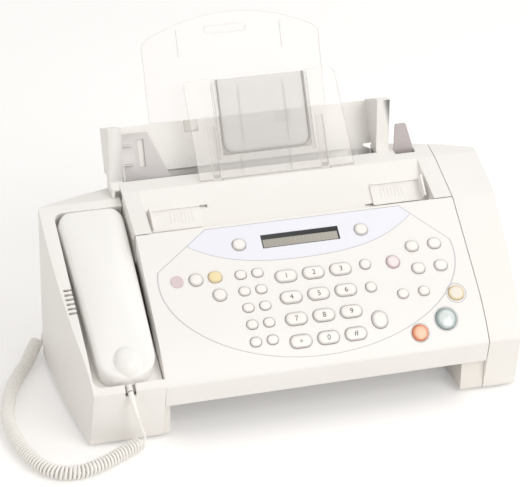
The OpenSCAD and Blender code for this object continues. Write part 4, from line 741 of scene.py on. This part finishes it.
panel_cover = eased("panel_cover", panel_print, 0.0008, 3, 30)
mesh = panel_cover.data
spots = points_of(mesh)
bend_y = panel_y - panel_flat * math.cos(panel_tilt) + panel_bend * math.sin(panel_tilt)
bend_z = panel_z - panel_flat * math.sin(panel_tilt) - panel_bend * math.cos(panel_tilt)
down_flat = ((panel_y - spots[:, 1]) * math.cos(panel_tilt)
             + (panel_z - spots[:, 2]) * math.sin(panel_tilt))
swing = np.arctan2(bend_y - spots[:, 1], spots[:, 2] - bend_z)
curved = down_flat > panel_flat
down_panel = np.where(curved, panel_flat + panel_bend * (swing - panel_tilt), down_flat)
out_panel = np.where(curved, np.hypot(spots[:, 1] - bend_y, spots[:, 2] - bend_z) - panel_bend,
                     panel_out(spots))
place_map = mesh.attributes.new("panel_place", "FLOAT_VECTOR", "POINT")
in_millimetres = np.stack([spots[:, 0], down_panel, out_panel], 1) * 1000
place_map.data.foreach_set("vector", in_millimetres.ravel())
eased("panel_base", grey_abs, 0.0004)
key_mat = eased("key_board", board_green, 0.0)
mat_rubber = vinyl("key_mat", (112, 114, 117), 0.75, 0.0007)
board_face = -0.0088
part_finishes(key_mat, [mat_rubber], lambda c: np.where(panel_out(c) > board_face, 1, 0))


# ---- Display ----
# A character display sits behind a clear window in a black frame whose sides slope in. The
# frame's wide top band is painted shadow of the recess falling on the display. The lamp beside
# the keys is a pink lens.
lcd = vinyl("lcd_glass", (170, 165, 155), 0.16, 0.0009, 0.00001, coat=0.8)
nodes, links = lcd.node_tree.nodes, lcd.node_tree.links
place = nodes.new("ShaderNodeTexCoord")
axes = nodes.new("ShaderNodeSeparateXYZ")
links.new(place.outputs["Object"], axes.inputs[0])
cell_width, gap_share = 0.0033, 0.12
column = calc(nodes, links, "FRACT",
              calc(nodes, links, "MULTIPLY", axes.outputs[0], 1 / cell_width))
printed_over(lcd, calc(nodes, links, "LESS_THAN", column, gap_share), (178, 173, 163))
pink_lens = vinyl("pink_lens", (226, 208, 210), 0.22, 0.0012, 0.00002, coat=0.6)
display = eased("display_module", charcoal, 0.0002)
lens_edge, glass_back = -0.08, -0.0027
part_finishes(display, [lcd, pink_lens], lambda c: np.where(
    c[:, 0] < lens_edge, 2, np.where(panel_out(c) > glass_back, 1, 0)))
window_x, window_s, window_w, window_h = 0.014, 0.019, 0.066, 0.012
# The charcoal frame is part bezel and part painted shadow: its band along the top is 4 mm wide,
# against about 1 mm at the sides and foot, and stands for the shadow the recess throws on the top
# of the display.
rings = []
for left, top, low, n in ((0.00005, 0.00005, 0.00005, -0.00015),
                          (0.0012, 0.0040, 0.0009, -0.00085),
                          (0.00005, 0.00005, 0.00005, -0.0016)):
    for x_sign, top_side in ((-1, 1), (1, 1), (1, 0), (-1, 0)):
        rings.append(on_panel(window_x + x_sign * (window_w / 2 - left), window_s,
                              window_h / 2 - top if top_side else -window_h / 2 + low, n))
frame_faces = [[r * 4 + k, r * 4 + (k + 1) % 4, ((r + 1) % 3) * 4 + (k + 1) % 4,
                ((r + 1) % 3) * 4 + k] for r in range(3) for k in range(4)]
bezel_and_painted_shadow = lay_mesh("display_bezel_and_painted_shadow", rings, frame_faces, charcoal, False)
face_outwards(bezel_and_painted_shadow)
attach(bezel_and_painted_shadow, "panel")


# ---- Keys ----
# Each key is a moulded cap on a rubber mat, a little crowned, with its top edge rounded. The
# numbers are pad-printed in dark grey.
number_x, number_s = -0.0058, 0.0517
number_pitch_x, number_pitch_s = 0.0231, 0.0189
number_rise, number_crown = 0.0018, 0.0004
cap_low = -0.0026
cap_round = 0.0009
cap_sides = 64


def cap_surface(rows, rise, crown_height):
    """Points and faces of key caps [x, s, width, height]. Rings of one rounded outline go up
    the side, over a quarter round, and inwards up a parabola to the crown."""
    points, faces, depths = [], [], []
    turn = np.linspace(0, 2 * np.pi, cap_sides, endpoint=False)
    quarter = np.linspace(0, np.pi / 2, 6)
    for x, s, w, h in rows:
        r = min(w, h) / 2 - 0.0001
        inset = np.concatenate([[0], cap_round * (1 - np.cos(quarter)),
                                cap_round + (r - cap_round) * np.array([0.2, 0.45, 0.7, 0.97])])
        share = np.clip((inset - cap_round) / (r - cap_round), 0, 1)
        edge_top = rise - crown_height
        n = np.concatenate([[cap_low], edge_top - cap_round + cap_round * np.sin(quarter),
                            np.full(4, edge_top)]) + crown_height * (1 - (1 - share) ** 2)
        corner = r - inset
        dx = np.sign(np.round(np.cos(turn), 9)) * (w / 2 - r) + corner[:, None] * np.cos(turn)
        dy = np.sign(np.round(np.sin(turn), 9)) * (h / 2 - r) + corner[:, None] * np.sin(turn)
        base = sum(len(p) for p in points)
        points.append(on_panel(x + dx, s, dy, n[:, None]).reshape(-1, 3))
        depths.append(np.repeat(np.where(inset < 0.0004, 0, inset / r), cap_sides))
        faces += tube_faces(len(inset), cap_sides, base)
    return np.vstack(points), faces, np.concatenate(depths)


def keys(node, rows, rise, crown_height, finishes):
    """Caps that stand for one node of keys: finishes holds one finish, or one for each key."""
    points, faces, depths = cap_surface(rows, rise, crown_height)
    piece = lay_mesh(node + "_caps", points, faces)
    piece.data.attributes.new("inward", "FLOAT", "POINT").data.foreach_set("value", depths)
    for finish in dict.fromkeys(finishes):
        piece.data.materials.append(finish)
    if len(finishes) > 1:
        each = len(faces) // len(rows)
        order = list(dict.fromkeys(finishes))
        piece.data.polygons.foreach_set(
            "material_index", np.repeat([order.index(f) for f in finishes], each))
    face_outwards(piece)
    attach(piece, node)
    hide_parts(node)
    return piece


def rim_shaded_cap(name, rim_shade_chip, centre_chip, roughness, coat=0.0):
    """A cap with painted shade round its rim: its colour runs from the darker rim chip to the
    middle along the mesh's "inward" attribute, 0 on the side wall and 1 at the middle."""
    finish = vinyl(name, centre_chip, roughness, 0.0009, 0.00003, coat)
    nodes, links = finish.node_tree.nodes, finish.node_tree.links
    body = nodes["Principled BSDF"]
    depth = nodes.new("ShaderNodeAttribute")
    depth.attribute_name = "inward"
    ramp = nodes.new("ShaderNodeMapRange")
    ramp.interpolation_type = "SMOOTHSTEP"
    ramp.inputs["From Min"].default_value = 0.04
    ramp.inputs["From Max"].default_value = 0.42
    links.new(depth.outputs["Fac"], ramp.inputs["Value"])
    over = nodes.new("ShaderNodeMix")
    over.data_type = "RGBA"
    over.inputs[6].default_value = tone(*rim_shade_chip)
    links.new(body.inputs["Base Color"].links[0].from_socket, over.inputs[7])
    links.new(ramp.outputs["Result"], over.inputs[0])
    links.new(over.outputs[2], body.inputs["Base Color"])
    return finish


# The first chip of each cap is painted shade on its side wall and rounded edge, where the gap
# round the key falls in shadow. The second chip is the key's own colour.
key_white = rim_shaded_cap("key_white", (204, 199, 196), (253, 250, 246), 0.34)
key_ink = vinyl("key_ink", (92, 92, 96), 0.5, 0.0006, 0.00002)
legends = [("1", "1"), ("2", "2"), ("3", "3"), ("4", "4"), ("5", "5"), ("6", "6"), ("7", "7"),
           ("8", "8"), ("9", "9"), ("star", "*"), ("0", "0"), ("hash", "#")]
for spot, (word, mark) in enumerate(legends):
    x = number_x + number_pitch_x * (spot % 3)
    s = number_s + number_pitch_s * (spot // 3)
    node = "number_key_" + word
    keys(node, [(x, s, 0.0185, 0.011)], number_rise, number_crown, [key_white])
    glyph = bpy.data.curves.new("glyph_" + word, "FONT")
    glyph.body = mark
    glyph.size = 0.0062
    glyph.align_x = "CENTER"
    glyph.align_y = "CENTER"
    glyph.extrude = 0.00003
    holder = bpy.data.objects.new("glyph_" + word, glyph)
    bpy.context.scene.collection.objects.link(holder)
    bpy.context.view_layer.update()
    outline = bpy.data.meshes.new_from_object(holder)
    bpy.data.objects.remove(holder)
    flat = points_of(outline)
    flat[:, :2] -= (flat[:, :2].min(0) + flat[:, :2].max(0)) / 2
    drop = number_crown * (np.abs(flat[:, 1]) / 0.0054) ** 2
    printed = on_panel(x + flat[:, 0], s, flat[:, 1], number_rise - drop + flat[:, 2] + 0.00004)
    outline.vertices.foreach_set("co", printed.ravel())
    outline.materials.clear()
    outline.materials.append(key_ink)
    legend = bpy.data.objects.new("legend_" + word, outline)
    bpy.context.scene.collection.objects.link(legend)
    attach(legend, node)
keys("one_touch_keys", [(x, 0.0456 + 0.0146 * i, 0.0095, 0.008) for x in (-0.0425, -0.0285)
                        for i in range(5)], 0.0015, 0.0003, [key_white])
teal = rim_shaded_cap("teal_key", (142, 160, 160), (224, 232, 231), 0.2, 0.6)
keys("start_key", [(0.118, 0.1065, 0.018, 0.018)], 0.0028, 0.0012, [teal])
orange = rim_shaded_cap("orange_key", (222, 132, 88), (248, 201, 170), 0.28, 0.3)
keys("stop_key", [(0.094, 0.115, 0.0135, 0.0135)], 0.0024, 0.0007, [orange])
pale_yellow = rim_shaded_cap("pale_yellow_key", (226, 206, 166), (246, 239, 227), 0.34)
yellow_key = rim_shaded_cap("yellow_key", (222, 204, 166), (249, 231, 184), 0.34)
keys("mode_key", [(0.1315, 0.086, 0.0135, 0.0125)], 0.0018, 0.0004, [pale_yellow])
pinkish = rim_shaded_cap("pink_key", (206, 182, 184), (247, 238, 240), 0.34)
keys("menu_keys", [(-0.038, 0.019, 0.0115, 0.0105), (0.066, 0.019, 0.0115, 0.0105),
                   (0.105, 0.0398, 0.0115, 0.010), (0.1245, 0.0398, 0.0115, 0.010),
                   (0.1055, 0.060, 0.0115, 0.010), (0.125, 0.060, 0.0115, 0.010)],
     0.0018, 0.0004, [key_white])
keys("function_keys", [(-0.0795, 0.045, 0.0115, 0.011), (-0.063, 0.0605, 0.0115, 0.011),
                       (-0.0636, 0.0446, 0.0115, 0.010)],
     0.0018, 0.0004, [key_white, key_white, yellow_key])
keys("dialling_keys", [(0.0618, 0.0505, 0.0095, 0.009), (0.0618, 0.071, 0.0095, 0.009),
                       (0.0625, 0.0996, 0.0135, 0.015), (0.0856, 0.0515, 0.0115, 0.0115),
                       (0.087, 0.0805, 0.0095, 0.0085), (0.105, 0.0805, 0.0095, 0.0085)],
     0.0018, 0.0004, [key_white, key_white, key_white, pinkish, key_white, key_white])


# ---- Document guides ----
# Two guides in the colour of the covers slide on racks in the document slope, and a small
# pinion under them keeps them centred.
guide_abs = vinyl("guide_abs", (251, 249, 246), 0.45, 0.0009)
eased("document_guide_left", guide_abs, 0.0004)
eased("document_guide_right", guide_abs, 0.0004)


# ---- Document tray and its extension ----
# The tray is a clear styrene plate that leans back and slides up in two slots. A grey-tinted
# extension slides in its notch, with a raised dark rim round its rounded foot.
def clear_sheet(name, chip, alpha, roughness):
    """Clear or tinted styrene: see-through by a plain share, glossy, with faint flow marks."""
    finish = vinyl(name, chip, roughness, 0.0016, 0.00002, coat=0.5)
    finish.node_tree.nodes["Principled BSDF"].inputs["Alpha"].default_value = alpha
    return finish


def rimmed(piece, finish, thin):
    """Gives the narrow edges of a plate another finish: the faces whose normals stand more
    than 45 degrees from `thin`, the direction of the plate's thickness."""
    mesh = piece.data
    mesh.materials.append(finish)
    normals = np.array([p.normal for p in mesh.polygons])
    narrow = np.abs(normals @ np.array(thin)) < 0.7
    mesh.polygons.foreach_set("material_index", narrow.astype(int))
    mesh.update()


tray_lean = math.radians(30)
tray_foot_y, tray_foot_z = 33.5, 150
clear_tray = clear_sheet("clear_styrene", (246, 243, 240), 0.24, 0.14)
clear_rim = clear_sheet("clear_styrene_edge", (208, 203, 198), 0.6, 0.2)
tray = eased("document_tray", clear_tray, 0.0004)
rimmed(tray, clear_rim, (0, math.cos(tray_lean), -math.sin(tray_lean)))


def on_tray(across, deep, up):
    """Millimetres across, behind and up the tray's front face, turned into the row frame."""
    y = tray_foot_y + deep * math.cos(tray_lean) + up * math.sin(tray_lean)
    z = tray_foot_z - deep * math.sin(tray_lean) + up * math.cos(tray_lean)
    return np.stack(np.broadcast_arrays(across, y, z), -1) / 1000


def tray_prism(outline, near, far):
    """Points and faces of a closed prism: an outline of [across, up] from `near` to `far`."""
    outline = np.asarray(outline, float)
    count = len(outline)
    points = np.vstack([on_tray(outline[:, 0], d, outline[:, 1]) for d in (near, far)])
    k = np.arange(count)
    faces = np.stack([k, (k + 1) % count, (k + 1) % count + count, k + count], 1).tolist()
    faces += [k[::-1].tolist(), (k + count).tolist()]
    return points, faces


def joined(parts):
    """Several sets of points and faces as one."""
    points, faces, start = [], [], 0
    for p, f in parts:
        points.append(p)
        faces += [[v + start for v in face] for face in f]
        start += len(p)
    return np.vstack(points), faces


ext_left, ext_right, ext_low, ext_top, ext_round = -30.4, 45.4, 21.0, 83.0, 9.0
arc = np.radians(np.linspace(0, 90, 13))


def foot_curve(inset):
    """The rounded foot of the extension, from its top left down, across and up to the right."""
    r = ext_round - inset
    left = np.stack([ext_left + ext_round - r * np.cos(arc),
                     ext_low + ext_round - r * np.sin(arc)], 1)
    right = np.stack([ext_right - ext_round + r * np.sin(arc),
                      ext_low + ext_round - r * np.cos(arc)], 1)
    return np.vstack([[[ext_left + inset, ext_top]], left, right, [[ext_right - inset, ext_top]]])


smoke = clear_sheet("smoke_styrene", (214, 212, 210), 0.46, 0.2)
smoke_rim = vinyl("smoke_rim", (150, 145, 142), 0.3, 0.0012, 0.00002, coat=0.4)
rib_half, rib_low, rib_top = 0.4, 27, 76
ribs = [tray_prism([(x - rib_half, rib_low), (x + rib_half, rib_low), (x + rib_half, rib_top),
                    (x - rib_half, rib_top)], -0.5, 0.05) for x in (-12, 27)]
sheet_points, sheet_faces = joined([tray_prism(foot_curve(0.2), 0.1, 1.7)] + ribs)
extension = lay_mesh("tray_extension_plate", sheet_points, sheet_faces, smoke, False)
face_outwards(extension)
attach(extension, "extension")
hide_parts("tray_extension")
rim_outline = np.vstack([foot_curve(0.0), foot_curve(1.3)[::-1]])
count = len(foot_curve(0.0))
rim_points = np.vstack([on_tray(rim_outline[:, 0], d, rim_outline[:, 1]) for d in (-1.0, 0.1)])
k = np.arange(count - 1)
pairs = 2 * count - 1 - k
rim_faces = np.stack([k, k + 1, pairs - 1, pairs], 1).tolist()
rim_faces += (np.stack([k, pairs, pairs - 1, k + 1], 1) + 2 * count).tolist()
ring = np.arange(2 * count)
rim_faces += np.stack([ring, ring + 2 * count, np.roll(ring, -1) + 2 * count,
                       np.roll(ring, -1)], 1).tolist()
extension_rim = lay_mesh("tray_extension_rim", rim_points, rim_faces, smoke_rim, False)
face_outwards(extension_rim)
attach(extension_rim, "extension")


# ---- Sheet feeder: paper support, edge guide and release lever ----
# A clear styrene fan stands behind the feeder. The edge guide and the lever are smoke grey.
clear_fan = clear_sheet("clear_fan", (244, 241, 237), 0.14, 0.12)
support = eased("paper_support", clear_fan, 0.0004)
rimmed(support, clear_rim, (0, math.cos(feeder_lean), -math.sin(feeder_lean)))
smoke_solid = clear_sheet("smoke_guide", (232, 228, 227), 0.84, 0.24)
eased("edge_guide", smoke_solid, 0.0005)
smoke_lever = clear_sheet("smoke_lever", (204, 196, 197), 0.9, 0.24)
eased("release_lever", smoke_lever, 0.0005)
